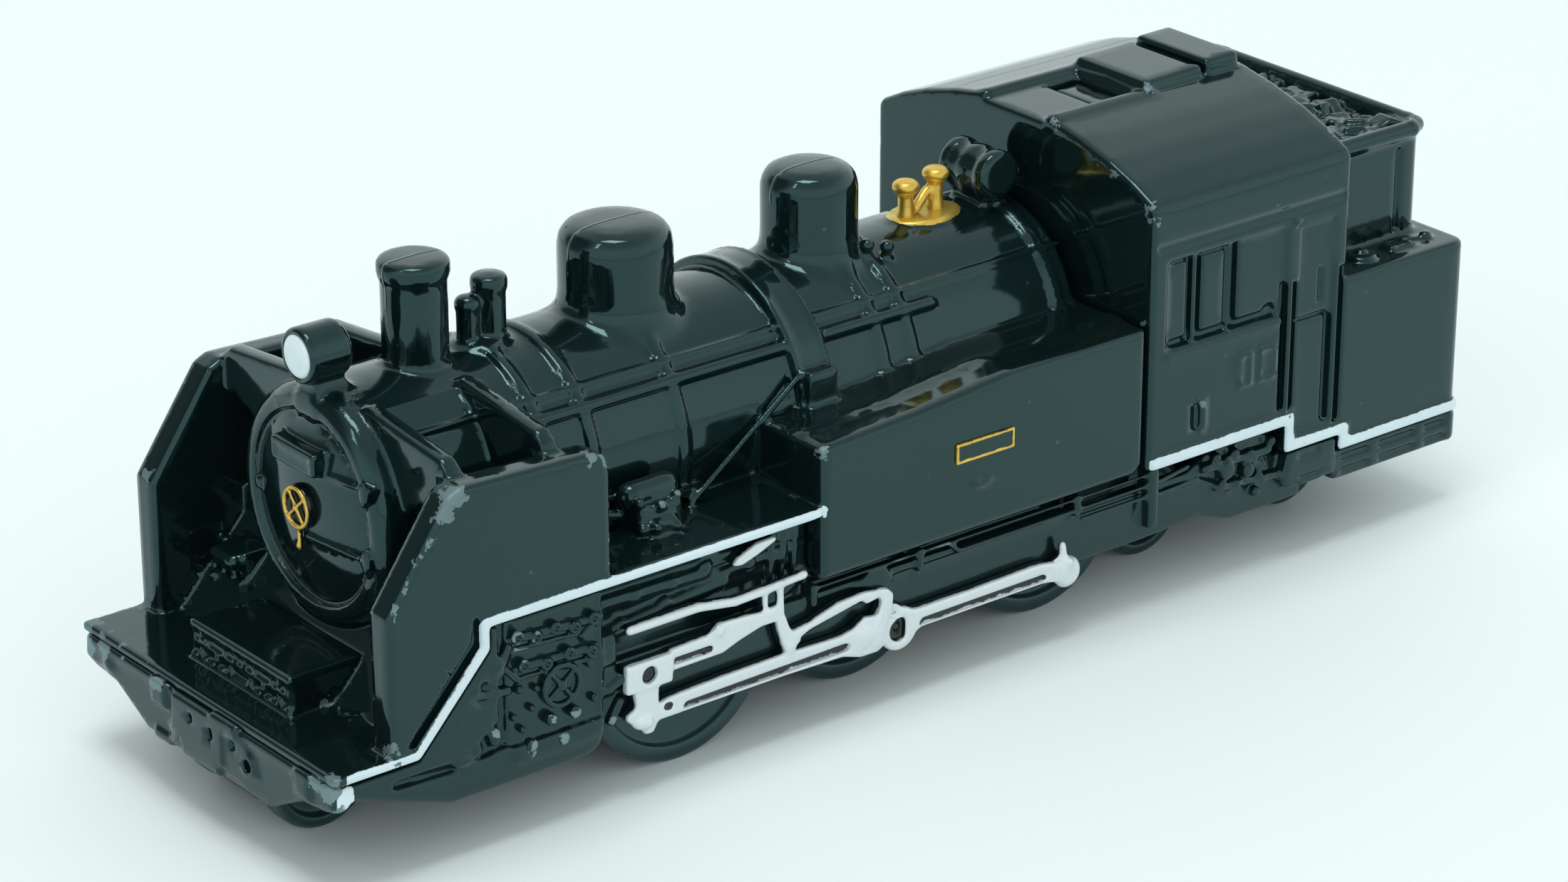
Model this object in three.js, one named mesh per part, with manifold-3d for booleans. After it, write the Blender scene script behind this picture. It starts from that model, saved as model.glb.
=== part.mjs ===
// Pocket-size die-cast tank locomotive (2-6-4), free-rolling, about 78 mm long.
// Frame: +X forwards (chimney end), +Y the engine's left side, +Z up, table at z = 0.
// Stations "s" are millimetres back from the front edge of the deck, heights "h" are above the table.
import * as THREE from 'three';
import { mergeVertices } from 'three/addons/utils/BufferGeometryUtils.js';
import Module from 'manifold-3d';

// ---------------------------------------------------------------- driving dimensions (mm)
const FRONT_X = 38.65;          // X of station 0, so that the overall box is centred on X = 0
const HALF_W = 11.45;           // half width over side tanks, cab and bunker base
const DECK_HALF_W = 11.6;       // half width over the footplate edge
const DECK_H = 6.75;            // top of the front deck
const BOARD_H = 12.6;           // top of the running boards beside the boiler
const PLATE_T = 0.5;            // thickness of deck and running boards
const BOILER_H = 15.25;         // height of the boiler centre line
const BOILER_R = 6.3;
const BOILER_END_S = 52.6;
const RING_S = 6.7;             // front face of the smokebox ring
const TANK_FRONT_S = 30.3;
const TANK_REAR_S = 52.7;
const TANK_BOTTOM_H = 8.35;
const TANK_TOP_FRONT_H = 15.8;
const TANK_TOP_H = 16.8;
const CAB_FRONT_S = 52.95;
const CAB_REAR_S = 67.7;
const EAVE_H = 23.65;
const ROOF_H = 26.5;
const BUNKER_REAR_S = 76.2;
const BUNKER_HALF_W = 8.57;
const BUNKER_H = 22.8;
const REAR_S = 77.3;
const REAR_TOP_H = 16.05;
const CHIMNEY_S = 13.15;
const DOME1_S = 25.85;
const DOME2_S = 38.65;
const AXLE_R = 0.7;
const DRIVER_R = 5.8;
const SMALL_R = 3.0;
const WHEEL_T = 1.35;           // wheel thickness
// axle stations, tyre radius, outer face of the wheels
const AXLES = {
  pony: { s: 4.1, r: SMALL_R, face: 4.3 },
  driver1: { s: 22.5, r: DRIVER_R, face: 9.5 },
  driver2: { s: 35.55, r: DRIVER_R, face: 7.55 },
  driver3: { s: 48.75, r: DRIVER_R, face: 7.55 },
  trailing1: { s: 58.2, r: SMALL_R, face: 5.7 },
  trailing2: { s: 69.4, r: SMALL_R, face: 5.7 },
};
const SPINE_HALF_W = 2.45;
const SPINE_BOTTOM_H = 2.3;
const KEEPER_H = [1.3, 2.2];
const SCREW_SEAT_H = 1.75;      // floor of the counterbores that the screw heads sink into
const SCREWS = { front: 12.4, rear: 63.2 };
const SCREW_SHANK_R = 0.65;

// ---------------------------------------------------------------- solid helpers
const wasm = await Module();
wasm.setup();
const X = (s) => FRONT_X - s;

function solid(geometry) {
  const g = geometry.clone();
  g.deleteAttribute('normal');
  g.deleteAttribute('uv');
  const m = mergeVertices(g, 1e-4);
  const idx = m.index.array;
  const tri = [];
  for (let i = 0; i < idx.length; i += 3) {
    const [a, b, c] = [idx[i], idx[i + 1], idx[i + 2]];
    if (a !== b && b !== c && a !== c) tri.push(a, b, c);
  }
  return new wasm.Manifold(new wasm.Mesh({
    numProp: 3,
    vertProperties: new Float32Array(m.attributes.position.array),
    triVerts: new Uint32Array(tri),
  }));
}
const join = (...parts) => parts.flat().reduce((a, b) => a.add(b));
const cut = (base, ...tools) => tools.flat().reduce((a, b) => a.subtract(b), base);

const box = (s0, s1, y0, y1, h0, h1) => {
  const g = new THREE.BoxGeometry(s1 - s0, y1 - y0, h1 - h0);
  g.translate(X((s0 + s1) / 2), (y0 + y1) / 2, (h0 + h1) / 2);
  return solid(g);
};
const shapeOf = (pts) => new THREE.Shape(pts.map((p) => new THREE.Vector2(p[0], p[1])));
// outline in (station, height), extruded across the engine between y0 and y1; b rounds the rims
function plateY(pts, y0, y1, b = 0) {
  const g = new THREE.ExtrudeGeometry(shapeOf(pts.map(([s, h]) => [X(s), h])), {
    depth: y1 - y0 - 2 * b, steps: 1, bevelEnabled: b > 0, bevelThickness: b, bevelSize: b,
    bevelOffset: -b, bevelSegments: 1,
  });
  g.rotateX(Math.PI / 2);
  g.translate(0, y1 - b, 0);
  return solid(g);
}
// outline in (y, height), extruded along the engine between stations s0 and s1
function plateX(pts, s0, s1, b = 0) {
  const g = new THREE.ExtrudeGeometry(shapeOf(pts), {
    depth: s1 - s0 - 2 * b, steps: 1, bevelEnabled: b > 0, bevelThickness: b, bevelSize: b,
    bevelOffset: -b, bevelSegments: 1,
  });
  g.applyMatrix4(new THREE.Matrix4().makeBasis(
    new THREE.Vector3(0, 1, 0), new THREE.Vector3(0, 0, 1), new THREE.Vector3(1, 0, 0)));
  g.translate(X(s1) + b, 0, 0);
  return solid(g);
}
// outline in (station, y), extruded upwards between heights h0 and h1
function plateZ(pts, h0, h1, b = 0) {
  const g = new THREE.ExtrudeGeometry(shapeOf(pts.map(([s, y]) => [X(s), y])), {
    depth: h1 - h0 - 2 * b, steps: 1, bevelEnabled: b > 0, bevelThickness: b, bevelSize: b,
    bevelOffset: -b, bevelSegments: 1,
  });
  g.translate(0, 0, h0 + b);
  return solid(g);
}
// profile of (radius, height) turned about a vertical axis
function turnZ(profile, s, y = 0, seg = 24) {
  const g = new THREE.LatheGeometry(profile.map(([r, h]) => new THREE.Vector2(r, h)), seg);
  g.rotateX(Math.PI / 2);
  g.translate(X(s), y, 0);
  return solid(g);
}
// profile of (radius, station) turned about the lengthwise axis at height h; stations increase
function turnX(profile, h, y = 0, seg = 36) {
  const pts = profile.map(([r, s]) => new THREE.Vector2(r, X(s))).reverse();
  const g = new THREE.LatheGeometry(pts, seg);
  g.rotateZ(-Math.PI / 2);
  g.translate(0, y, h);
  return solid(g);
}
// profile of (radius, y) turned about an axis across the engine; y increases
function turnY(profile, s, h, seg = 36) {
  const g = new THREE.LatheGeometry(profile.map(([r, y]) => new THREE.Vector2(r, y)), seg);
  g.translate(X(s), 0, h);
  return solid(g);
}
const postZ = (r, h0, h1, s, y = 0, seg = 16) => turnZ([[0, h0], [r, h0], [r, h1], [0, h1]], s, y, seg);
const rodX = (r, s0, s1, y, h, seg = 10) => turnX([[0, s0], [r, s0], [r, s1], [0, s1]], h, y, seg);
const rodY = (r, y0, y1, s, h, seg = 20) => turnY([[0, y0], [r, y0], [r, y1], [0, y1]], s, h, seg);
function rodBetween(p, q, r, seg = 8) {
  const a = new THREE.Vector3(X(p[0]), p[1], p[2]);
  const b = new THREE.Vector3(X(q[0]), q[1], q[2]);
  const d = b.clone().sub(a);
  const g = new THREE.CylinderGeometry(r, r, d.length(), seg, 1);
  g.applyQuaternion(new THREE.Quaternion().setFromUnitVectors(new THREE.Vector3(0, 1, 0), d.clone().normalize()));
  g.translate((a.x + b.x) / 2, (a.y + b.y) / 2, (a.z + b.z) / 2);
  return solid(g);
}
const mirror = (m) => m.mirror([0, 1, 0]);
const both = (m) => [m, mirror(m)];
// arc points for rounded outlines
function arc(cx, cy, r, a0, a1, n) {
  const out = [];
  for (let i = 0; i <= n; i++) {
    const t = THREE.MathUtils.degToRad(a0 + (a1 - a0) * i / n);
    out.push([cx + r * Math.cos(t), cy + r * Math.sin(t)]);
  }
  return out;
}

function meshOf(name, m, material) {
  const data = m.getMesh();
  const g = new THREE.BufferGeometry();
  const n = data.vertProperties.length / data.numProp;
  const pos = new Float32Array(n * 3);
  for (let i = 0; i < n; i++) {
    for (let k = 0; k < 3; k++) pos[3 * i + k] = data.vertProperties[i * data.numProp + k];
  }
  g.setAttribute('position', new THREE.BufferAttribute(pos, 3));
  g.setIndex(new THREE.BufferAttribute(new Uint32Array(data.triVerts), 1));
  const flat = g.toNonIndexed();
  flat.computeVertexNormals();
  const mesh = new THREE.Mesh(flat, material.clone());
  mesh.name = name;
  return mesh;
}

// ---------------------------------------------------------------- materials
const blackPaint = new THREE.MeshStandardMaterial({ color: 0x0b0d0e, roughness: 0.22, metalness: 0.0 });
const blackPlastic = new THREE.MeshStandardMaterial({ color: 0x141718, roughness: 0.5, metalness: 0.0 });
const silverPaint = new THREE.MeshStandardMaterial({ color: 0xb9bdbd, roughness: 0.42, metalness: 0.55 });
const steel = new THREE.MeshStandardMaterial({ color: 0x8c8f92, roughness: 0.35, metalness: 1.0 });

const group = new THREE.Group();

// ---------------------------------------------------------------- boiler casting
// footplate: front deck, sloping sheet, running boards
const footplate = plateY([
  [0, DECK_H], [5.1, DECK_H], [9.0, BOARD_H], [TANK_FRONT_S + 0.3, BOARD_H],
  [TANK_FRONT_S + 0.3, BOARD_H - PLATE_T], [9.3, BOARD_H - PLATE_T], [5.4, DECK_H - PLATE_T], [0, DECK_H - PLATE_T],
], -DECK_HALF_W, DECK_HALF_W, 0.12);

// smokebox door, ring, boiler barrel and its bands in one turned outline
const band = (s0, s1, r) => [[BOILER_R, s0], [r, s0], [r, s1], [BOILER_R, s1]];
const boiler = turnX([
  [0, 5.95], [3.0, 6.1], [4.3, 6.32], [4.7, 7.0],
  [5.15, 7.0], [5.15, RING_S], [5.8, RING_S], [6.12, 7.0], [BOILER_R, 7.5],
  ...band(16.6, 17.4, 6.45), ...band(19.4, 20.2, 6.45), ...band(25.0, 25.8, 6.45),
  ...band(32.7, 35.0, 6.85), ...band(38.4, 39.2, 6.45), ...band(40.4, 41.2, 6.45),
  [BOILER_R, BOILER_END_S], [0, BOILER_END_S],
], BOILER_H, 0, 26);

// number-plate block and handwheel on the door
const plateBlock = plateY([[5.0, 17.6], [6.6, 17.6], [6.6, 19.3], [5.9, 19.3], [5.0, 18.9]], -1.95, 1.95);
const hub = turnX([[0, 5.55], [0.85, 5.65], [0.9, 6.4], [0, 6.4]], BOILER_H + 0.2, 0, 12);
const stub = rodX(0.35, 4.95, 5.7, 0, BOILER_H + 0.2, 8);
const rim = turnX([[0.8, 4.85], [1.15, 4.85], [1.15, 5.2], [0.8, 5.2], [0.8, 4.85]], BOILER_H + 0.2, 0, 16);
const spokes = [0, 60, 120].map((deg) => {
  const t = THREE.MathUtils.degToRad(deg + 90);
  return rodBetween([5.02, Math.cos(t) * 1.0, BOILER_H + 0.2 + Math.sin(t) * 1.0],
    [5.02, -Math.cos(t) * 1.0, BOILER_H + 0.2 - Math.sin(t) * 1.0], 0.15, 6);
});
const lever = box(4.9, 5.2, -0.2, 0.2, BOILER_H - 2.0, BOILER_H - 0.8);
const straps = [
  box(6.05, 6.6, 2.6, 5.2, 17.45, 18.05), box(6.05, 6.6, 0.9, 5.2, 13.55, 14.15),
  box(6.3, 7.2, 4.7, 5.7, 17.35, 18.15), box(6.3, 7.2, 4.7, 5.7, 13.45, 14.25),
  box(6.2, 7.0, -5.0, -4.2, 14.6, 15.6),
];

// headlamp on its bracket
const lamp = turnX([
  [0, 6.32], [1.15, 6.32], [1.18, 6.1], [1.38, 6.1], [1.5, 6.25], [1.5, 8.6], [1.3, 8.9], [0, 8.9],
], 23.45, 0, 18);
const lampFoot = plateY([[6.95, 20.6], [6.95, 22.4], [8.5, 22.4], [9.1, 20.6]], -0.85, 0.85);

// chimney, twin pipes, domes
const chimney = turnZ([
  [0, 20.0], [2.5, 20.0], [2.35, 21.2], [1.9, 21.6], [1.71, 22.1], [1.71, 25.7], [1.92, 26.1],
  [1.94, 26.6], [1.78, 26.9], [1.3, 27.02], [0, 27.05],
], CHIMNEY_S, 0, 20);
const twinBase = turnZ([[0, 20.2], [1.95, 20.2], [1.85, 21.6], [1.3, 22.0], [0, 22.1]], 17.2, 0, 16);
const twinTall = turnZ([[0, 21.0], [0.9, 21.0], [0.9, 24.85], [0.7, 25.15], [0, 25.25]], 17.85, 0, 12);
const twinShort = turnZ([[0, 21.0], [0.7, 21.0], [0.7, 23.6], [0.52, 23.9], [0, 24.0]], 16.5, 0, 12);
const domeProfile = (r, top) => [
  [0, 20.0], [r + 1.0, 20.0], [r + 0.75, 20.9], [r + 0.22, 21.5], [r, 22.3], [r, top - 1.35],
  [r - 0.18, top - 0.75], [r - 0.6, top - 0.28], [r - 1.3, top - 0.06], [0, top],
];
const dome1 = turnZ(domeProfile(3.02, 26.05), DOME1_S, 0, 22);
const dome2 = turnZ(domeProfile(2.6, 26.1), DOME2_S, 0, 22);
const knobs = [postZ(0.32, 20.0, 22.2, 40.55, 2.55, 8), postZ(0.32, 20.0, 21.9, 41.6, 2.7, 8)];

// safety valves on their pad, generator drum
const pad = turnZ([[0, 20.9], [2.3, 20.9], [2.1, 21.75], [0, 21.9]], 46.6, 0, 16).scale([1, 0.72, 1]);
const valve = (s, top) => turnZ([
  [0, 21.2], [0.42, 21.2], [0.42, top - 0.75], [0.68, top - 0.62], [0.7, top - 0.25], [0, top],
], s, 0, 10);
const valves = [valve(45.35, 23.75), valve(47.45, 24.05)];
const generator = turnY([[0, -1.95], [1.15, -1.95], [1.4, -1.7], [1.4, -1.1], [1.3, -1.0], [1.3, 1.55], [1.0, 1.9], [0, 1.95]],
  50.5, 23.3, 16);
const generatorFoot = box(49.8, 51.2, -1.2, 1.2, 21.0, 22.6);

// details beside the boiler
const handrails = both(join(
  rodX(0.36, 16.4, 42.9, 5.2, 19.0, 8), rodX(0.2, 19.0, 52.5, 4.45, 19.85, 6)));
const pumps = both(join(
  box(20.7, 23.6, 5.4, 8.9, BOARD_H - 0.3, 14.3), rodX(0.75, 20.9, 23.4, 7.4, 14.6, 12),
  box(21.2, 22.9, 6.4, 9.2, BOARD_H - 0.3, 13.3)));
const feedRods = both(rodBetween([32.9, 6.35, 17.7], [25.3, 6.9, 12.7], 0.2, 8));
const braces = both(join(
  ...[8.3, 13.95].map((s) => plateX([
    [2.8, 19.3], [3.5, 20.55], [10.3, 19.62], [10.3, 18.3], [9.2, 18.75], [7.6, 18.6], [5.0, 17.4],
  ], s, s + 0.75))));

// deck details ahead of the smokebox
const stepBox = join(
  plateY([[2.7, DECK_H - 0.2], [2.7, 8.6], [3.0, 8.9], [6.8, 8.9], [5.3, DECK_H - 0.15]], -4.3, 4.3),
  box(2.4, 3.0, -4.3, 4.3, DECK_H - 0.1, 7.15));

// smoke deflectors
const deflectors = both(plateY([
  [3.58, 6.4], [3.58, 14.25], [7.55, 19.45], [8.1, 19.72], [16.1, 19.38], [16.75, 19.0], [16.95, 18.3], [16.95, 12.3], [9.05, 12.3], [5.25, 6.4],
], 10.0, 11.42, 0.3));

// side tanks: outer box, and a shallower top over the coupled wheels
const tankOutline = (bottom) => [
  [TANK_FRONT_S, bottom], [TANK_FRONT_S, TANK_TOP_FRONT_H - 0.1], [TANK_FRONT_S + 0.5, TANK_TOP_FRONT_H + 0.05],
  [37, TANK_TOP_FRONT_H + 0.35], [43, TANK_TOP_H], [TANK_REAR_S, TANK_TOP_H],
];
const tanks = both(join(
  plateY([...tankOutline(TANK_BOTTOM_H), [TANK_REAR_S, TANK_BOTTOM_H + 0.5], [TANK_REAR_S - 0.5, TANK_BOTTOM_H]],
    8.2, HALF_W, 0.4),
  plateY([...tankOutline(12.2), [TANK_REAR_S, 12.2]], 4.6, 9.0)));
const tankFittings = both(join(
  turnY([[0, 11.2], [1.0, 11.2], [0.85, 11.62], [0, 11.68]], 41.1, 11.25, 16).scale([1, 1, 1]),
  box(39.1, 43.4, 11.2, 11.62, 12.45, 13.75)));

// mounting pedestal below the barrel for the front screw, and hollow under the barrel
const frontPost = box(9.8, 17.6, -4.2, 4.2, 8.95, 13.0);
const barrelHollow = plateX([[-3.4, 7.0], [-3.4, 17.0], [-1.6, 18.4], [1.6, 18.4], [3.4, 17.0], [3.4, 7.0]], 19.5, 51.0);

let boilerCasting = join(
  footplate, boiler, frontPost, plateBlock, hub, stub, rim, spokes, lever, straps, lamp, lampFoot, chimney,
  twinBase, twinTall, twinShort, dome1, dome2, knobs, pad, valves, generator, generatorFoot,
  handrails, pumps, feedRods, braces, stepBox, deflectors, tanks, tankFittings);
boilerCasting = cut(boilerCasting, barrelHollow,
  postZ(SCREW_SHANK_R + 0.15, 8.0, 11.6, SCREWS.front, 0, 16));
group.add(meshOf('boiler_casting', boilerCasting, blackPaint));

// ---------------------------------------------------------------- cab and bunker casting
const roofLine = [
  [HALF_W, EAVE_H - 0.35], [HALF_W - 0.25, EAVE_H], [9.6, 24.45], [7.6, 25.2], [5.2, 25.85], [2.6, 26.35], [0, ROOF_H],
];
const cabSection = [
  [-HALF_W, 5.75], [HALF_W, 5.75], [HALF_W, 20.6], [HALF_W - 0.12, 21.2], ...roofLine,
  ...roofLine.slice(0, -1).reverse().map(([y, h]) => [-y, h]), [-HALF_W + 0.12, 21.2], [-HALF_W, 20.6],
];
let cab = plateX(cabSection, CAB_FRONT_S, CAB_REAR_S, 0.25);
const rearTank = plateZ([
  [66.5, -HALF_W], ...arc(REAR_S - 0.9, -HALF_W + 0.9, 0.9, 270, 360, 4), ...arc(REAR_S - 0.9, HALF_W - 0.9, 0.9, 0, 90, 4),
  [66.5, HALF_W]], 5.75, REAR_TOP_H, 0.25);
const bunkerWalls = plateZ([
  [66.8, -BUNKER_HALF_W], ...arc(75.3, -BUNKER_HALF_W + 0.9, 0.9, 270, 360, 3),
  ...arc(75.3, BUNKER_HALF_W - 0.9, 0.9, 0, 90, 3), [66.8, BUNKER_HALF_W]], 15.4, BUNKER_H - 0.6, 0);
const bunkerRail = plateZ([
  [67.2, -BUNKER_HALF_W - 0.15], ...arc(75.3, -BUNKER_HALF_W + 0.9, 1.05, 270, 360, 3),
  ...arc(75.3, BUNKER_HALF_W - 0.9, 1.05, 0, 90, 3), [67.2, BUNKER_HALF_W + 0.15]], BUNKER_H - 1.0, BUNKER_H, 0.35);
const bunkerMouth = box(66.0, 75.2, -BUNKER_HALF_W + 1.0, BUNKER_HALF_W - 1.0, 21.2, 24);
// heaped coal: a plate of low facets between the bunker walls
function coalHeap() {
  const nx = 10, ny = 16;
  const s0 = 66.9, s1 = 75.3, y0 = -BUNKER_HALF_W + 0.9, y1 = BUNKER_HALF_W - 0.9;
  const pos = [];
  const idx = [];
  const top = (i, j) => {
    const k = Math.sin(i * 12.9898 + j * 78.233) * 43758.5453;
    const r = k - Math.floor(k);
    const edge = (i === 0 || j === 0 || i === nx || j === ny) ? 0 : 1;
    return 21.6 + edge * (0.25 + 0.55 * r);
  };
  for (let i = 0; i <= nx; i++) {
    for (let j = 0; j <= ny; j++) {
      pos.push(X(s0 + (s1 - s0) * i / nx), y0 + (y1 - y0) * j / ny, top(i, j));
    }
  }
  const n = pos.length / 3;
  for (let i = 0; i <= nx; i++) {
    for (let j = 0; j <= ny; j++) pos.push(X(s0 + (s1 - s0) * i / nx), y0 + (y1 - y0) * j / ny, 20.9);
  }
  const id = (i, j) => i * (ny + 1) + j;
  for (let i = 0; i < nx; i++) {
    for (let j = 0; j < ny; j++) {
      const [a, b, c, d] = [id(i, j), id(i + 1, j), id(i + 1, j + 1), id(i, j + 1)];
      idx.push(a, c, b, a, d, c);
      idx.push(n + a, n + b, n + c, n + a, n + c, n + d);
    }
  }
  const wall = (a, b) => idx.push(a, b, n + b, a, n + b, n + a);
  for (let i = 0; i < nx; i++) { wall(id(i, 0), id(i + 1, 0)); wall(id(i + 1, ny), id(i, ny)); }
  for (let j = 0; j < ny; j++) { wall(id(0, j + 1), id(0, j)); wall(id(nx, j), id(nx, j + 1)); }
  const g = new THREE.BufferGeometry();
  g.setAttribute('position', new THREE.Float32BufferAttribute(pos, 3));
  g.setIndex(idx);
  return solid(g);
}
const ledges = both(join(
  box(53.2, 63.95, HALF_W - 0.4, HALF_W + 0.18, 8.35, 9.02),
  box(63.35, 64.05, HALF_W - 0.4, HALF_W + 0.18, 6.85, 9.02),
  box(63.35, 68.3, HALF_W - 0.4, HALF_W + 0.18, 6.7, 7.3),
  box(67.6, 68.3, HALF_W - 0.4, HALF_W + 0.18, 5.8, 7.3)));
const rearLedge = plateZ([
  [67.6, -HALF_W - 0.18], ...arc(REAR_S - 0.8, -HALF_W + 0.82, 1.0, 270, 360, 4), ...arc(REAR_S - 0.8, HALF_W - 0.82, 1.0, 0, 90, 4),
  [67.6, HALF_W + 0.18]], 5.75, 6.35, 0.1);
// low bottom corners removed so that the cab sits on the stepped frame
const cabUnder = [box(52, 63.4, -13, 13, 4, 8.35), box(63.3, 67.7, -13, 13, 4, 6.7)];
// roof: sunken lengthwise strip and two stacked ventilator boxes
const roofStrip = plateY([[52.0, 27.5], [52.0, 25.75], [59.6, 25.75], [60.0, 27.5]], -2.6, 2.6);
const roofVents = [
  plateY([[59.6, 25.2], [60.1, 26.9], [64.5, 26.95], [64.5, 25.2]], -2.95, 2.95, 0.2),
  plateY([[64.2, 25.2], [64.2, 27.2], [67.2, 27.25], [67.35, 25.2]], -2.95, 2.95, 0.2),
];
// side relief: window recess with bars and sill, doorway, plates, handrails
const sideCuts = both(join(
  box(54.4, 57.1, HALF_W - 0.55, HALF_W + 1, 14.95, 20.35),
  box(57.7, 59.0, HALF_W - 0.55, HALF_W + 1, 14.95, 20.35),
  box(59.6, 62.7, HALF_W - 0.55, HALF_W + 1, 14.95, 20.35),
  box(64.3, 66.8, HALF_W - 0.4, HALF_W + 1, 7.6, 20.35)));
const sideAdds = both(join(
  box(59.9, 61.1, HALF_W - 0.2, HALF_W + 0.16, 11.8, 13.4), box(61.5, 62.7, HALF_W - 0.2, HALF_W + 0.16, 11.8, 13.4),
  box(54.2, 62.9, HALF_W - 0.3, HALF_W + 0.12, 14.6, 14.95),
  box(63.15, 63.55, HALF_W - 0.2, HALF_W + 0.2, 9.5, 16.5), box(67.3, 67.65, HALF_W - 0.2, HALF_W + 0.2, 8.6, 17.5),
  box(56.5, 57.1, HALF_W - 0.2, HALF_W + 0.22, 10.2, 11.4), box(66.4, 66.9, HALF_W - 0.6, HALF_W - 0.1, 9.2, 15.5)));
const lids = both(join(
  postZ(1.0, 15.6, 16.75, 70.6, 10.0, 14), box(72.3, 74.4, 9.3, 10.8, 15.6, 16.5), postZ(0.5, 15.6, 16.9, 75.2, 10.0, 10)));
const rearSteps = [box(76.9, 77.6, -3.2, 3.2, 12.0, 12.5), box(76.9, 77.6, -6.4, -3.4, 8.4, 9.0), box(76.9, 77.6, 3.4, 6.4, 8.4, 9.0)];
let cabCasting = join(cab, rearTank, bunkerWalls, bunkerRail);
cabCasting = cut(cabCasting, bunkerMouth, roofStrip, sideCuts, cabUnder);
cabCasting = join(cabCasting, coalHeap(), ledges, rearLedge, roofVents, sideAdds, lids, rearSteps);
// pockets below for the trailing wheels and the last coupled pair, and lightening pockets
cabCasting = cut(cabCasting,
  both(box(52.0, 55.7, 5.9, 8.3, 4, 12.2)),
  both(box(65.5, 73.2, 3.9, 6.2, 4, 6.35)),
  both(box(56.6, 66.2, 2.9, 9.6, 4, 21.0)),
  both(box(69.0, 75.4, 2.9, 9.6, 4, 14.4)),
  postZ(SCREW_SHANK_R + 0.15, 6.0, 12.0, SCREWS.rear, 0, 16));
group.add(meshOf('cab_casting', cabCasting, blackPaint));

// ---------------------------------------------------------------- underframe
const spine = plateY([
  [0.7, SPINE_BOTTOM_H], [0.7, 6.05], [9.4, 6.05], [9.6, 8.7], [52.4, 8.7], [52.7, 8.1], [63.1, 8.1],
  [63.1, 6.45], [67.4, 6.45], [67.4, 5.5], [76.8, 5.5], [76.8, SPINE_BOTTOM_H],
], -SPINE_HALF_W, SPINE_HALF_W);
const beam = join(
  plateX([
    [-11.3, 6.1], [-11.45, 4.9], [-10.4, 4.6], [-8.5, 4.4], [-5.6, 2.9], [5.6, 2.9], [8.5, 4.4], [10.4, 4.6], [11.45, 4.9], [11.3, 6.1],
  ], 0.0, 0.85, 0.12),
  box(-0.35, 0.4, -2.1, 1.9, 3.0, 5.2),
  rodX(0.55, -0.3, 0.4, 3.4, 4.2, 12), rodX(0.55, -0.3, 0.4, -3.4, 4.2, 12),
  box(-0.2, 0.4, -4.6, -3.0, 2.9, 3.5));
const skirt = both(plateY([
  [0.2, 6.05], [5.5, 6.05], [9.45, 11.85], [16.5, 11.85], [16.5, 4.3], ...arc(15.3, 4.35, 1.2, 0, -90, 4),
  [7.06, 3.15], [1.3, 5.1], [0.4, 4.7],
], 10.35, 11.4, 0.2));
const cylinders = both(join(
  box(8.2, 16.3, 2.0, 10.6, 4.2, 8.75), box(10.2, 16.4, 8.6, 10.6, 4.2, 11.6)));
const boltSpots = [[12.7, 5.75], [14.5, 5.85], [11.75, 4.55], [13.6, 4.65]];
const cylinderRelief = both(join(
  turnY([[0, 11.2], [1.15, 11.2], [1.0, 11.62], [0, 11.7]], 13.6, 7.35, 18),
  ...boltSpots.map(([s, h]) => turnY([[0, 11.2], [0.32, 11.2], [0.25, 11.62], [0, 11.66]], s, h, 8)),
  rodX(0.4, 11.0, 16.0, 11.3, 10.75, 8), rodX(0.35, 11.2, 15.6, 11.3, 9.7, 8),
  box(16.2, 17.5, 9.9, 10.9, 6.1, 9.1)));
const sidePanels = both(plateY([
  [16.4, 4.2], [17.2, 3.9], [53.0, 3.9], [57.8, 4.1], [60.2, 3.3], [65.6, 3.3], [65.6, 6.4], [63.2, 6.4], [62.8, 7.9],
  [58.4, 7.9], [56.8, 7.0], [47.9, 7.0], [46.6, 7.4], [16.4, 7.4],
], 9.8, 10.65, 0.15));
const tankPipes = both(join(
  rodX(0.2, 30.0, 53.6, 11.0, 8.0, 8), rodX(0.2, 39.5, 53.6, 11.0, 7.35, 8), rodX(0.18, 48.2, 53.6, 11.0, 6.75, 8),
  box(29.8, 30.4, 10.4, 11.2, 6.8, 8.2), box(37.0, 37.5, 10.4, 11.15, 6.8, 8.15), box(48.1, 48.7, 10.4, 11.15, 6.5, 8.15),
  box(53.3, 54.1, 10.4, 11.45, 4.9, 8.2)));
const injector = both(join(
  rodX(0.5, 57.8, 62.6, 10.9, 6.9, 10), rodY(0.7, 10.4, 11.35, 60.4, 6.2, 12), rodX(0.35, 59.0, 63.4, 10.9, 5.6, 8)));
const crossMembers = join(
  box(28.58, 29.45, -10.2, 10.2, 4.2, 7.2), box(41.6, 42.7, -10.2, 10.2, 4.2, 7.2),
  box(61.7, 65.4, -10.2, 10.2, 3.4, 6.4), box(73.3, 76.9, -10.5, 10.5, 3.9, 5.5));
const stepBlocks = both(join(
  plateY([[63.75, 6.45], [63.4, 4.9], [64.2, 4.4], [67.4, 4.4], [67.4, 6.4]], 10.0, 11.45, 0.15),
  box(64.6, 66.4, 10.0, 11.62, 4.6, 5.0)));
const rearSkirt = both(join(
  plateY([[67.3, 3.95], [67.3, 5.55], [76.9, 5.55], [76.9, 3.85], [68.0, 3.85]], 10.3, 11.4, 0.15),
  box(70.35, 70.8, 10.5, 11.55, 3.95, 5.5), box(74.1, 74.5, 10.5, 11.55, 3.95, 5.5)));
const rearBeam = plateZ([
  [76.2, -11.0], ...arc(76.5, -10.5, 1.0, 280, 360, 4), ...arc(76.5, 10.5, 1.0, 0, 80, 4), [76.2, 11.0],
], 3.85, 5.55, 0.15);
const rearCoupler = box(76.8, 77.65, -2.0, 2.0, 3.4, 5.0);
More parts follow.
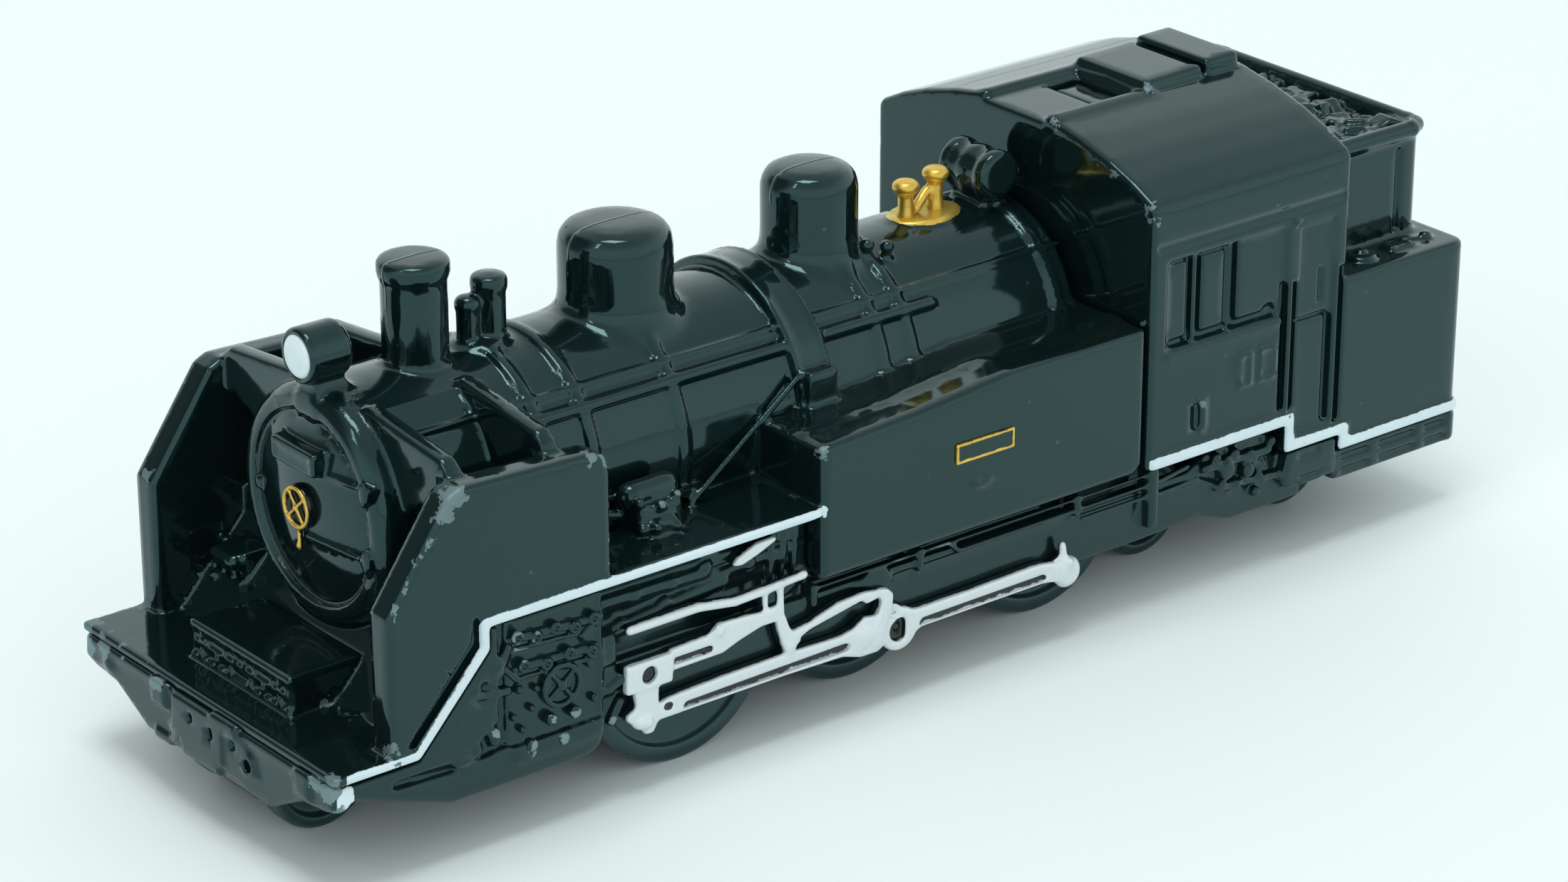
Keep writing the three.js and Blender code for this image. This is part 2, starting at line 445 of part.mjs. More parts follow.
const axleSlot = ({ s, r }) => join(
  box(s - 0.85, s + 0.85, -2.7, 2.7, 1.5, r), rodY(0.85, -2.7, 2.7, s, r, 12));
let underframe = join(spine, beam, skirt, cylinders, cylinderRelief, sidePanels, tankPipes, injector,
  crossMembers, stepBlocks, rearSkirt, rearBeam, rearCoupler);
underframe = cut(underframe, Object.values(AXLES).map(axleSlot),
  Object.values(SCREWS).map((s) => postZ(SCREW_SHANK_R + 0.15, 1.5, 9.5, s, 0, 12)));
group.add(meshOf('underframe', underframe, blackPlastic));

// ---------------------------------------------------------------- keeper plate and its screws
const keeperProng = ({ s, r }) => (r > 4 ? [box(s - 0.65, s + 0.65, -2.2, 2.2, KEEPER_H[1] - 0.1, r - AXLE_R - 0.1)] : []);
let keeper = join(
  plateZ([[1.6, -2.0], [2.0, -2.4], [73.6, -2.4], [74.0, -2.0], [74.0, 2.0], [73.6, 2.4], [2.0, 2.4], [1.6, 2.0]], KEEPER_H[0], KEEPER_H[1]),
  Object.values(AXLES).flatMap(keeperProng));
keeper = cut(keeper,
  Object.values(SCREWS).map((s) => postZ(SCREW_SHANK_R + 0.15, 0.5, 3.5, s, 0, 16)),
  Object.values(SCREWS).map((s) => postZ(1.5, 0.5, SCREW_SEAT_H, s, 0, 20)));
group.add(meshOf('keeper_plate', keeper, blackPlastic));

for (const [name, s] of Object.entries(SCREWS)) {
  const screw = cut(
    turnZ([[0, 1.33], [0.9, 1.36], [1.3, 1.5], [1.35, SCREW_SEAT_H - 0.05], [SCREW_SHANK_R, SCREW_SEAT_H - 0.05],
      [SCREW_SHANK_R, 11.0], [0, 11.3]], s, 0, 14),
    box(s - 0.95, s + 0.95, -0.17, 0.17, 1.0, 1.53), box(s - 0.17, s + 0.17, -0.95, 0.95, 1.0, 1.53));
  group.add(meshOf(`screw_${name}`, screw, steel));
}

// ---------------------------------------------------------------- rod gear (one relief insert per side)
const rodY0 = 10.7, rodY1 = 11.45;
function rodGear() {
  const flat = (pts, y1 = rodY1) => plateY(pts, rodY0, y1);
  const bar = (p, q, w, y1 = rodY1) => {
    const d = new THREE.Vector2(q[0] - p[0], q[1] - p[1]).normalize().multiplyScalar(w / 2);
    const n = [-d.y, d.x];
    return flat([[p[0] + n[0], p[1] + n[1]], [q[0] + n[0], q[1] + n[1]], [q[0] - n[0], q[1] - n[1]], [p[0] - n[0], p[1] - n[1]]], y1);
  };
  const boss = (s, h, r, y1) => turnY([[0, rodY0], [r, rodY0], [r, y1], [0, y1]], s, h, 16);
  const crosshead = flat([[17.6, 5.85], [17.75, 5.75], [20.65, 5.75], [20.7, 7.25], [20.6, 7.35], [17.65, 7.35]], rodY1 + 0.1);
  const slipper = flat([[18.1, 5.9], [18.2, 4.7], [17.7, 4.4], [18.6, 3.6], [18.9, 3.15], [19.5, 3.2], [19.9, 4.0], [20.0, 5.9]], rodY1);
  const mainRod = flat([[19.6, 3.7], [19.8, 4.75], [22.0, 4.9], [28.3, 4.95], [32.0, 4.75], [33.4, 5.3], [34.6, 5.0], [34.9, 3.4], [33.6, 3.2], [31.5, 3.6]]);
  const mainGroove = box(21.3, 32.3, rodY1 - 0.3, 12.2, 4.0, 4.3);
  const link = flat([[20.6, 7.5], [23.1, 7.55], [24.0, 8.0], [25.8, 7.85], [26.6, 7.8], [27.4, 7.8], [27.6, 6.9], [26.4, 6.9], [23.8, 6.2], [20.6, 6.2]]);
  const linkGroove = box(20.9, 23.2, rodY1 - 0.3, 12.2, 6.6, 6.9);
  const lever = flat([[27.0, 7.0], [26.9, 8.6], [27.9, 8.6], [28.0, 7.0], [28.9, 5.5], [28.4, 4.7], [27.9, 4.9], [27.6, 6.0]]);
  const leverFront = flat([[26.5, 7.2], [26.5, 8.7], [26.95, 8.7], [26.95, 7.2]], rodY1 - 0.15);
  const valveRod = flat([[17.9, 8.95], [18.1, 9.5], [22.5, 9.55], [24.8, 9.1], [26.4, 9.25], [27.6, 9.1], [29.4, 9.2], [29.5, 8.85], [28.6, 8.55], [24.7, 8.5], [22.5, 8.85], [18.2, 8.9]]);
  const eccentric = flat([[28.0, 6.2], [30.9, 6.55], [33.8, 6.95], [35.0, 6.9], [35.1, 6.5], [34.6, 5.0], [33.6, 4.6], [33.4, 6.3], [31.5, 6.0], [28.6, 5.4]]);
  const crank = bar([34.7, 6.6], [34.2, 4.0], 0.9, rodY1 + 0.12);
  const ring = boss(35.65, 4.2, 1.15, rodY1);
  const ringEar = boss(35.2, 5.05, 0.6, rodY1);
  const coupling = flat([[35.9, 5.1], [37.0, 5.0], [45.0, 5.1], [46.4, 4.95], [47.0, 4.6], [47.0, 3.7], [46.0, 3.75], [37.0, 3.75], [36.0, 3.35]]);
  const couplingGroove = box(37.1, 45.8, rodY1 - 0.3, 12.2, 3.95, 4.25);
  const rearBoss = boss(47.45, 4.1, 1.2, rodY1 + 0.12);
  const rearLug = flat([[46.9, 4.6], [46.95, 5.7], [47.5, 5.75], [48.4, 4.4]], rodY1);
  const crossheadHole = rodY(0.42, rodY1 - 0.35, 12.2, 19.2, 6.5, 12);
  const ringHole = rodY(0.58, rodY1 - 0.35, 12.2, 35.65, 4.1, 12);
  const bossPin = rodY(0.45, rodY1 - 0.2, rodY1 + 0.2, 34.0, 4.0, 10);
  return cut(join(crosshead, slipper, mainRod, link, lever, leverFront, valveRod, eccentric, crank, ring, ringEar,
    coupling, rearBoss, rearLug, bossPin), mainGroove, linkGroove, couplingGroove, crossheadHole, ringHole);
}
const gear = rodGear();
group.add(meshOf('rod_gear_left', gear, silverPaint));
group.add(meshOf('rod_gear_right', mirror(gear), silverPaint));

// ---------------------------------------------------------------- wheelsets
function wheel(r, face) {
  const y0 = face - WHEEL_T;
  const small = r < 4;
  const rimIn = r - (small ? 0.75 : 0.95);
  const hubR = small ? 1.05 : 1.5;
  const pts = [
    [0.8, y0], [r, y0], [r, face], [rimIn, face], [rimIn - 0.15, face - 0.3], [hubR, face - 0.3],
    [hubR, face], [0.8, face], [0.8, y0],
  ];
  return pts;
}
for (const [name, { s, r, face }] of Object.entries(AXLES)) {
  const left = turnY(wheel(r, face), s, r, r > 4 ? 24 : 16);
  const axle = turnY([[0, -face + 0.25], [AXLE_R, -face + 0.25], [AXLE_R, face - 0.25], [0, face - 0.25]], s, r, 12);
  group.add(meshOf(`axle_${name}`, axle, steel));
  group.add(meshOf(`wheel_${name}_left`, left, blackPlastic));
  group.add(meshOf(`wheel_${name}_right`, mirror(left), blackPlastic));
}

export default group;
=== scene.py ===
"""Looks of the pocket die-cast tank locomotive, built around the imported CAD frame.

Every piece is a distance field sampled on a grid and meshed, so that edges and joins are as round as thick paint on a casting.
Stations s are millimetres back from the front edge of the deck, y is across (left is +), heights h are above the table.
"""
import math

import bpy
import numpy as np
import openvdb as vdb
from mathutils import Matrix, Vector


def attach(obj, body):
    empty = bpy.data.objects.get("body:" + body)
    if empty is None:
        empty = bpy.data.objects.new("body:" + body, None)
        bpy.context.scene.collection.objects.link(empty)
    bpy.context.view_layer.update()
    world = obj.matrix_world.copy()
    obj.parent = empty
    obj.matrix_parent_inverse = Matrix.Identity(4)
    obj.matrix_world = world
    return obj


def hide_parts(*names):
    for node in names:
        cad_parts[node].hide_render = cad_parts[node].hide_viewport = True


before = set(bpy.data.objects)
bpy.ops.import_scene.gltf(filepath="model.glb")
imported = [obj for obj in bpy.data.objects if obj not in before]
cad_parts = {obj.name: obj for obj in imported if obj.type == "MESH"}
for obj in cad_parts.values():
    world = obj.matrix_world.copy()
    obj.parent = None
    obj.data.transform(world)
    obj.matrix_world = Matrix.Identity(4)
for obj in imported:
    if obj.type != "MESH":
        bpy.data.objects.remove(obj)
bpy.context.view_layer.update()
FRONT_X = 38.65
F4 = np.float32


# ------------------------------------------------------------------ distance fields
def smin(a, b, k):
    if k <= 0:
        return np.minimum(a, b)
    t = np.maximum(k - np.abs(a - b), 0)
    return np.minimum(a, b) - t * t / (4 * k)


class Field:
    def __init__(self, s, y, h, vox, half=False):
        self.vox, self.half = vox, half
        y = (vox / 2, y[1]) if half else y
        self.axes = []
        for lo, hi in (s, y, h):
            self.axes.append((lo + vox * np.arange(int(math.ceil((hi - lo) / vox)) + 1)).astype(F4))
        self.D = np.full([len(a) for a in self.axes], 4.0, F4)

    def window(self, b, pad):
        w = []
        for ax, lo, hi in zip(self.axes, b[0::2], b[1::2]):
            w.append(slice(int(np.searchsorted(ax, lo - pad)), int(np.searchsorted(ax, hi + pad, "right"))))
        return tuple(w)

    def grids(self, w):
        a, b, c = self.axes
        return a[w[0]][:, None, None], b[w[1]][None, :, None], c[w[2]][None, None, :]

    def add(self, shape, k=0.2):
        f, b = shape
        w = self.window(b, k + 0.7)
        if all(x.stop > x.start for x in w):
            self.D[w] = smin(self.D[w], f(*self.grids(w)).astype(F4), k)
        return self

    def cut(self, shape, k=0.1):
        f, b = shape
        w = self.window(b, k + 0.7)
        if all(x.stop > x.start for x in w):
            self.D[w] = -smin(-self.D[w], f(*self.grids(w)).astype(F4), k)
        return self

    def whole(self):
        """The field over both sides, from a half one."""
        if self.half:
            y = self.axes[1]
            self.axes[1] = np.concatenate([-y[::-1], y])
            self.D = np.ascontiguousarray(np.concatenate([self.D[:, ::-1], self.D], axis=1))
            self.half = False
        return self

    def soften(self, sigma):
        """Rounds every edge and corner by about sigma, as a coat of paint does."""
        n = max(0, int(round(2 * (sigma / self.vox) ** 2)))
        for _ in range(n):
            for ax in range(3):
                d = np.moveaxis(self.D, ax, 0)
                m = d.copy()
                m[1:-1] = 0.5 * d[1:-1] + 0.25 * (d[:-2] + d[2:])
                self.D = np.moveaxis(m, 0, ax)
        self.D = np.ascontiguousarray(self.D)
        return self

    def at(self, p):
        q = [np.clip((p[:, i] - self.axes[i][0]) / self.vox, 0, len(self.axes[i]) - 1.001) for i in range(3)]
        i = [x.astype(np.int64) for x in q]
        f = [x - j for x, j in zip(q, i)]
        out = 0
        for a in (0, 1):
            for b in (0, 1):
                for c in (0, 1):
                    wt = (f[0] if a else 1 - f[0]) * (f[1] if b else 1 - f[1]) * (f[2] if c else 1 - f[2])
                    out = out + wt * self.D[i[0] + a, i[1] + b, i[2] + c]
        return out

    def slope(self, p, e):
        g = np.empty_like(p)
        for i in range(3):
            d = np.zeros(3)
            d[i] = e
            g[:, i] = (self.at(p + d) - self.at(p - d)) / (2 * e)
        return g


def poly2(points):
    P = np.array(points, float)

    def f(u, v):
        u, v = np.broadcast_arrays(u, v)
        d = np.full(u.shape, 1e9, F4)
        inside = np.zeros(u.shape, bool)
        for i in range(len(P)):
            a, b = P[i - 1], P[i]
            ex, ey = b - a
            if ex * ex + ey * ey < 1e-12:
                continue
            wx, wy = u - a[0], v - a[1]
            t = np.clip((wx * ex + wy * ey) / (ex * ex + ey * ey), 0, 1)
            np.minimum(d, (wx - ex * t) ** 2 + (wy - ey * t) ** 2, out=d)
            if abs(ey) > 1e-9:
                inside ^= ((a[1] <= v) != (b[1] <= v)) & (u < ex * (v - a[1]) / ey + a[0])
        return np.where(inside, -1, 1) * np.sqrt(d)
    return f


def extruded(d2, w, r):
    a, b = d2 + r, w + r
    return np.minimum(np.maximum(a, b), 0) + np.sqrt(np.maximum(a, 0) ** 2 + np.maximum(b, 0) ** 2) - r


def plateY(points, y0, y1, r=0.0):
    p, P = poly2(points), np.array(points, float)
    c, hw = (y0 + y1) / 2, (y1 - y0) / 2
    return (lambda S, Y, H: extruded(p(S, H), np.abs(Y - c) - hw, r),
            (P[:, 0].min(), P[:, 0].max(), y0, y1, P[:, 1].min(), P[:, 1].max()))


def plateX(points, s0, s1, r=0.0):
    p, P = poly2(points), np.array(points, float)
    c, hw = (s0 + s1) / 2, (s1 - s0) / 2
    return (lambda S, Y, H: extruded(p(Y, H), np.abs(S - c) - hw, r),
            (s0, s1, P[:, 0].min(), P[:, 0].max(), P[:, 1].min(), P[:, 1].max()))


def plateZ(points, h0, h1, r=0.0):
    p, P = poly2(points), np.array(points, float)
    c, hw = (h0 + h1) / 2, (h1 - h0) / 2
    return (lambda S, Y, H: extruded(p(S, Y), np.abs(H - c) - hw, r),
            (P[:, 0].min(), P[:, 0].max(), P[:, 1].min(), P[:, 1].max(), h0, h1))


def box(s0, s1, y0, y1, h0, h1, r=0.08):
    c = [(s0 + s1) / 2, (y0 + y1) / 2, (h0 + h1) / 2]
    m = [(s1 - s0) / 2 - r, (y1 - y0) / 2 - r, (h1 - h0) / 2 - r]

    def f(S, Y, H):
        q = [np.abs(v - c[i]) - m[i] for i, v in enumerate((S, Y, H))]
        big = np.maximum(np.maximum(q[0], q[1]), q[2])
        out = np.sqrt(np.maximum(q[0], 0) ** 2 + np.maximum(q[1], 0) ** 2 + np.maximum(q[2], 0) ** 2)
        return out + np.minimum(big, 0) - r
    return f, (s0, s1, y0, y1, h0, h1)


def turned(axis, profile, c0, c1):
    """profile of (radius, position along the axis); X about (y=c0,h=c1), Z about (s=c0,y=c1), Y about (s=c0,h=c1)."""
    P = [(r, t) for r, t in profile]
    p = poly2(P + [(-r, t) for r, t in reversed(P) if r > 1e-6])
    R = max(r for r, _ in P)
    t0, t1 = min(t for _, t in P), max(t for _, t in P)
    if axis == "X":
        return (lambda S, Y, H: p(np.sqrt((Y - c0) ** 2 + (H - c1) ** 2), S)), (t0, t1, c0 - R, c0 + R, c1 - R, c1 + R)
    if axis == "Z":
        return (lambda S, Y, H: p(np.sqrt((S - c0) ** 2 + (Y - c1) ** 2), H)), (c0 - R, c0 + R, c1 - R, c1 + R, t0, t1)
    return (lambda S, Y, H: p(np.sqrt((S - c0) ** 2 + (H - c1) ** 2), Y)), (c0 - R, c0 + R, t0, t1, c1 - R, c1 + R)


def drum(axis, r, t0, t1, c0, c1, e=0.1):
    return turned(axis, [(0, t0), (r - e, t0), (r, t0 + e), (r, t1 - e), (r - e, t1), (0, t1)], c0, c1)


def rod(p, q, r, r2=None):
    p, q = np.array(p, float), np.array(q, float)
    r2 = r if r2 is None else r2
    d = q - p
    L = float(d @ d)

    def f(S, Y, H):
        w = (S - p[0], Y - p[1], H - p[2])
        t = np.clip((w[0] * d[0] + w[1] * d[1] + w[2] * d[2]) / L, 0, 1)
        return np.sqrt((w[0] - t * d[0]) ** 2 + (w[1] - t * d[1]) ** 2 + (w[2] - t * d[2]) ** 2) - (r + (r2 - r) * t)
    m = max(r, r2)
    lo, hi = np.minimum(p, q) - m, np.maximum(p, q) + m
    return f, (lo[0], hi[0], lo[1], hi[1], lo[2], hi[2])


def blob(c, rad, turn=0.0):
    """A slightly flattened lump with radii rad, turned about the vertical."""
    ca, sa = math.cos(turn), math.sin(turn)
    m = min(rad)

    def f(S, Y, H):
        a, b = (S - c[0]) * ca + (Y - c[1]) * sa, -(S - c[0]) * sa + (Y - c[1]) * ca
        return (np.sqrt((a / rad[0]) ** 2 + (b / rad[1]) ** 2 + ((H - c[2]) / rad[2]) ** 2) - 1) * m
    R = max(rad)
    return f, (c[0] - R, c[0] + R, c[1] - R, c[1] + R, c[2] - R, c[2] + R)


def lump(c, half, turn, tip, r):
    """A tilted block with rounded corners."""
    m = (Matrix.Rotation(turn, 3, "Z") @ Matrix.Rotation(tip, 3, "X")).transposed()
    m = np.array(m)

    def f(S, Y, H):
        d = (S - c[0], Y - c[1], H - c[2])
        q = [np.abs(m[i, 0] * d[0] + m[i, 1] * d[1] + m[i, 2] * d[2]) - half[i] + r for i in range(3)]
        out = np.sqrt(sum(np.maximum(x, 0) ** 2 for x in q))
        return out + np.minimum(np.maximum(np.maximum(q[0], q[1]), q[2]), 0) - r
    R = float(np.linalg.norm(half))
    return f, (c[0] - R, c[0] + R, c[1] - R, c[1] + R, c[2] - R, c[2] + R)


def ring(axis, R, r, c, t):
    """A torus of radius R and wire r at t along the axis."""
    if axis == "X":
        return (lambda S, Y, H: np.sqrt((np.sqrt((Y - c[0]) ** 2 + (H - c[1]) ** 2) - R) ** 2 + (S - t) ** 2) - r,
                (t - r, t + r, c[0] - R - r, c[0] + R + r, c[1] - R - r, c[1] + R + r))
    return (lambda S, Y, H: np.sqrt((np.sqrt((S - c[0]) ** 2 + (H - c[1]) ** 2) - R) ** 2 + (Y - t) ** 2) - r,
            (c[0] - R - r, c[0] + R + r, t - r, t + r, c[1] - R - r, c[1] + R + r))


def arc(cx, cy, r, a0, a1, n):
    return [(cx + r * math.cos(math.radians(a0 + (a1 - a0) * i / n)), cy + r * math.sin(math.radians(a0 + (a1 - a0) * i / n)))
            for i in range(n + 1)]


# ------------------------------------------------------------------ field to object
def near_path(p, path, axes=(0, 2)):
    """Distance from each point to a polyline, in the plane of two axes or in space."""
    best = np.full(len(p), 1e9)
    q = p[:, list(axes)]
    P = np.array(path, float)
    for a, b in zip(P[:-1], P[1:]):
        e = b - a
        t = np.clip(((q - a) @ e) / max(float(e @ e), 1e-12), 0, 1)
        best = np.minimum(best, np.linalg.norm(q - a - t[:, None] * e, axis=1))
    return best


def piece(name, F, body, material, marks=None, adapt=0.0, replaces=()):
    v = F.vox
    F.D = np.maximum(F.D, np.abs(F.axes[1])[None, :, None] - F4(11.67))
    F.D = np.maximum(F.D, F4(-0.32) - F.axes[0][:, None, None]).astype(F4)
    g = vdb.FloatGrid()
    g.background = 3 * v
    g.copyFromArray(np.ascontiguousarray(np.clip(F.D, -3 * v, 3 * v), dtype=F4))
    pts, tris, quads = g.convertToPolygons(isovalue=0.0, adaptivity=adapt)
    p = np.array([a[0] for a in F.axes]) + v * pts.astype(float)
    grad = F.slope(p, 0.75 * v)
    for _ in range(2):
        step = F.at(p)[:, None] * grad / np.maximum((grad ** 2).sum(1), 0.2)[:, None]
        p = p - np.clip(step, -0.3 * v, 0.3 * v)
        grad = F.slope(p, 0.75 * v)
    e = 0.25
    bend = (sum(F.at(p + d) + F.at(p - d) for d in np.eye(3) * e) - 6 * F.at(p)) / e ** 2
    normal = grad / np.maximum(np.linalg.norm(grad, axis=1), 1e-6)[:, None]
    world = np.stack([(FRONT_X - p[:, 0]), p[:, 1], p[:, 2]], 1) / 1000
    normal[:, 0] *= -1
    faces = [tuple(int(i) for i in f) for f in tris] + [tuple(int(i) for i in f) for f in quads]
    f0 = np.array([f[:3] for f in faces])
    side = np.cross(world[f0[:, 1]] - world[f0[:, 0]], world[f0[:, 2]] - world[f0[:, 1]])
    if (np.einsum("ij,ij->i", side, normal[f0].sum(1))).sum() < 0:
        faces = [f[::-1] for f in faces]
    me = bpy.data.meshes.new(name)
    me.from_pydata(world.tolist(), [], faces)
    me.validate(clean_customdata=False)
    if len(me.vertices) != len(world):
        raise RuntimeError(name + " lost vertices")
    me.polygons.foreach_set("use_smooth", np.ones(len(me.polygons), bool))
    me.normals_split_custom_set_from_vertices([tuple(n) for n in normal])
    values = {"bend": bend}
    if marks:
        values.update(marks(p))
    for key, val in values.items():
        a = me.attributes.new(key, "FLOAT", "POINT")
        a.data.foreach_set("value", np.asarray(val, F4))
    o = bpy.data.objects.new(name, me)
    bpy.context.scene.collection.objects.link(o)
    me.materials.append(material)
    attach(o, body)
    if replaces:
        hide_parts(*replaces)
    print("piece", name, len(me.vertices), "vertices", len(me.polygons), "faces")
    return o


# ------------------------------------------------------------------ node materials
class Nodes:
    """Short calls for building a material's node tree."""

    def __init__(self, name):
        self.m = bpy.data.materials.new(name)
        self.m.use_nodes = True
        self.t = self.m.node_tree
        self.t.nodes.clear()
        self.out = self.new("ShaderNodeOutputMaterial")
        self.bsdf = self.new("ShaderNodeBsdfPrincipled")
        self.t.links.new(self.bsdf.outputs[0], self.out.inputs[0])
        self.pos = self.new("ShaderNodeTexCoord").outputs["Object"]

    def new(self, kind, **kw):
        n = self.t.nodes.new(kind)
        for k, v in kw.items():
            setattr(n, k, v)
        return n

    def put(self, socket, v):
        if isinstance(v, bpy.types.NodeSocket):
            self.t.links.new(v, socket)
        else:
            socket.default_value = v

    def math(self, op, *args, clamp=False):
        n = self.new("ShaderNodeMath", operation=op, use_clamp=clamp)
        for i, a in enumerate(args):
            self.put(n.inputs[i], a)
        return n.outputs[0]

    def attr(self, name):
        return self.new("ShaderNodeAttribute", attribute_name=name).outputs["Fac"]

    def noise(self, size_mm, detail=3.0, rough=0.55, stretch=(1, 1, 1)):
        m = self.new("ShaderNodeMapping")
        self.put(m.inputs["Vector"], self.pos)
        m.inputs["Scale"].default_value = [1000 / size_mm * a for a in stretch]
        n = self.new("ShaderNodeTexNoise")
        self.put(n.inputs["Vector"], m.outputs[0])
        n.inputs["Scale"].default_value = 1.0
        n.inputs["Detail"].default_value = detail
        n.inputs["Roughness"].default_value = rough
        return n.outputs["Fac"]

    def specks(self, size_mm, radius):
        m = self.new("ShaderNodeMapping")
        self.put(m.inputs["Vector"], self.pos)
        m.inputs["Scale"].default_value = [1000 / size_mm] * 3
        n = self.new("ShaderNodeTexVoronoi", feature="F1")
        self.put(n.inputs["Vector"], m.outputs[0])
        n.inputs["Scale"].default_value = 1.0
        return self.below(n.outputs["Distance"], radius, 0.04)

    def below(self, v, limit, soft):
        """1 where v is under the limit, with a soft edge."""
        n = self.new("ShaderNodeMapRange", interpolation_type="SMOOTHSTEP")
        self.put(n.inputs["Value"], v)
        n.inputs["From Min"].default_value = limit - soft
        n.inputs["From Max"].default_value = limit + soft
        n.inputs["To Min"].default_value = 1.0
        n.inputs["To Max"].default_value = 0.0
        return n.outputs[0]

    def mix(self, fac, a, b, colour=True):
        n = self.new("ShaderNodeMix", data_type="RGBA" if colour else "FLOAT")
        i = (6, 7, 2) if colour else (2, 3, 0)
        self.put(n.inputs[0], fac)
        self.put(n.inputs[i[0]], a)
        self.put(n.inputs[i[1]], b)
        return n.outputs[i[2]]

    def bump(self, height, strength, distance_mm, normal=None):
        n = self.new("ShaderNodeBump")
        n.inputs["Strength"].default_value = strength
        n.inputs["Distance"].default_value = distance_mm / 1000
        self.put(n.inputs["Height"], height)
        if normal is not None:
            self.put(n.inputs["Normal"], normal)
        return n.outputs[0]

    def done(self, colour, rough, metal=0.0, normal=None, ior=1.5, tint=(1, 1, 1, 1)):
        b = self.bsdf.inputs
        self.put(b["Base Color"], colour)
        self.put(b["Roughness"], rough)
        self.put(b["Metallic"], metal)
        b["IOR"].default_value = ior
        b["Specular Tint"].default_value = tint
        if normal is not None:
            self.put(b["Normal"], normal)
        return self.m


GLOSS_TINT = (0.58, 1.0, 1.0, 1)
BLACK = (0.0022, 0.0080, 0.0082, 1)
BLACK2 = (0.0048, 0.0112, 0.0114, 1)
ZINC = (0.19, 0.25, 0.26, 1)
WHITE = (0.70, 0.80, 0.84, 1)
GOLD = (0.62, 0.38, 0.045, 1)


def casting_paint(name="casting_paint"):
    """Gloss black over zinc, with the painted line, gold touches and chips from marks on the mesh."""
    n = Nodes(name)
    fine, mid, wide = n.noise(0.16, 3), n.noise(0.7, 3), n.noise(4.5, 2)
    chip = n.math("ADD", n.attr("chip"), n.math("MULTIPLY", n.math("SUBTRACT", mid, 0.42), 2.4))
    chip = n.math("ADD", chip, n.math("MULTIPLY", n.math("SUBTRACT", fine, 0.5), 0.5))
    chip = n.below(chip, 0.0, 0.03)
    wear = n.math("SUBTRACT", 5.2, n.attr("bend"))
    wear = n.math("ADD", wear, n.math("MULTIPLY", n.math("SUBTRACT", 0.80, wide), 14.0))
    wear = n.math("ADD", wear, n.math("MULTIPLY", n.math("SUBTRACT", 0.5, fine), 2.0))
    chip = n.math("MAXIMUM", chip, n.below(wear, 0.0, 0.4))
    wobble = n.math("MULTIPLY", n.math("SUBTRACT", n.noise(0.45, 2), 0.5), 0.16)
    white = n.below(n.math("ADD", n.attr("white"), wobble), 0.0, 0.022)
    gold = n.below(n.math("ADD", n.attr("gold"), wobble), 0.0, 0.02)
    dust = n.specks(2.6, 0.022)
    c = n.mix(wide, BLACK, BLACK2)
    c = n.mix(n.math("MULTIPLY", dust, 0.3), c, (0.25, 0.32, 0.32, 1))
    zinc = n.mix(fine, ZINC, (0.10, 0.15, 0.16, 1))
    c = n.mix(gold, c, n.mix(mid, GOLD, (0.80, 0.56, 0.13, 1)))
    c = n.mix(white, c, n.mix(n.noise(1.2, 3), WHITE, (0.60, 0.71, 0.75, 1)))
    c = n.mix(chip, c, zinc)
    r = n.mix(wide, 0.05, 0.10, colour=False)
    r = n.mix(n.attr("rough"), r, 0.24, colour=False)
    r = n.mix(n.math("MAXIMUM", white, gold), r, 0.34, colour=False)
    r = n.mix(chip, r, 0.5, colour=False)
    metal = n.math("MAXIMUM", n.math("MULTIPLY", chip, 0.45), n.math("MULTIPLY", gold, 0.75))
    # the coats stand proud of each other, the paint film is slightly wavy, and the mould's parting line shows along the top
    seam = n.new("ShaderNodeSeparateXYZ")
    n.put(seam.inputs[0], n.pos)
    across = n.math("ABSOLUTE", seam.outputs[1])
    line = n.math("MULTIPLY", n.below(across, 0.00006, 0.00005), n.attr("seam"))
    film = n.bump(n.noise(2.4, 2), 0.5, 0.022)
    film = n.bump(n.noise(0.6, 2), 0.3, 0.004, film)
    film = n.bump(n.math("MULTIPLY", n.noise(0.55, 3), n.attr("rough")), 1.0, 0.16, film)
    film = n.bump(line, 1.0, 0.05, film)
    film = n.bump(n.math("SUBTRACT", n.math("MAXIMUM", white, gold), chip), 0.7, 0.03, film)
    return n.done(c, r, metal, film, ior=1.58, tint=GLOSS_TINT)


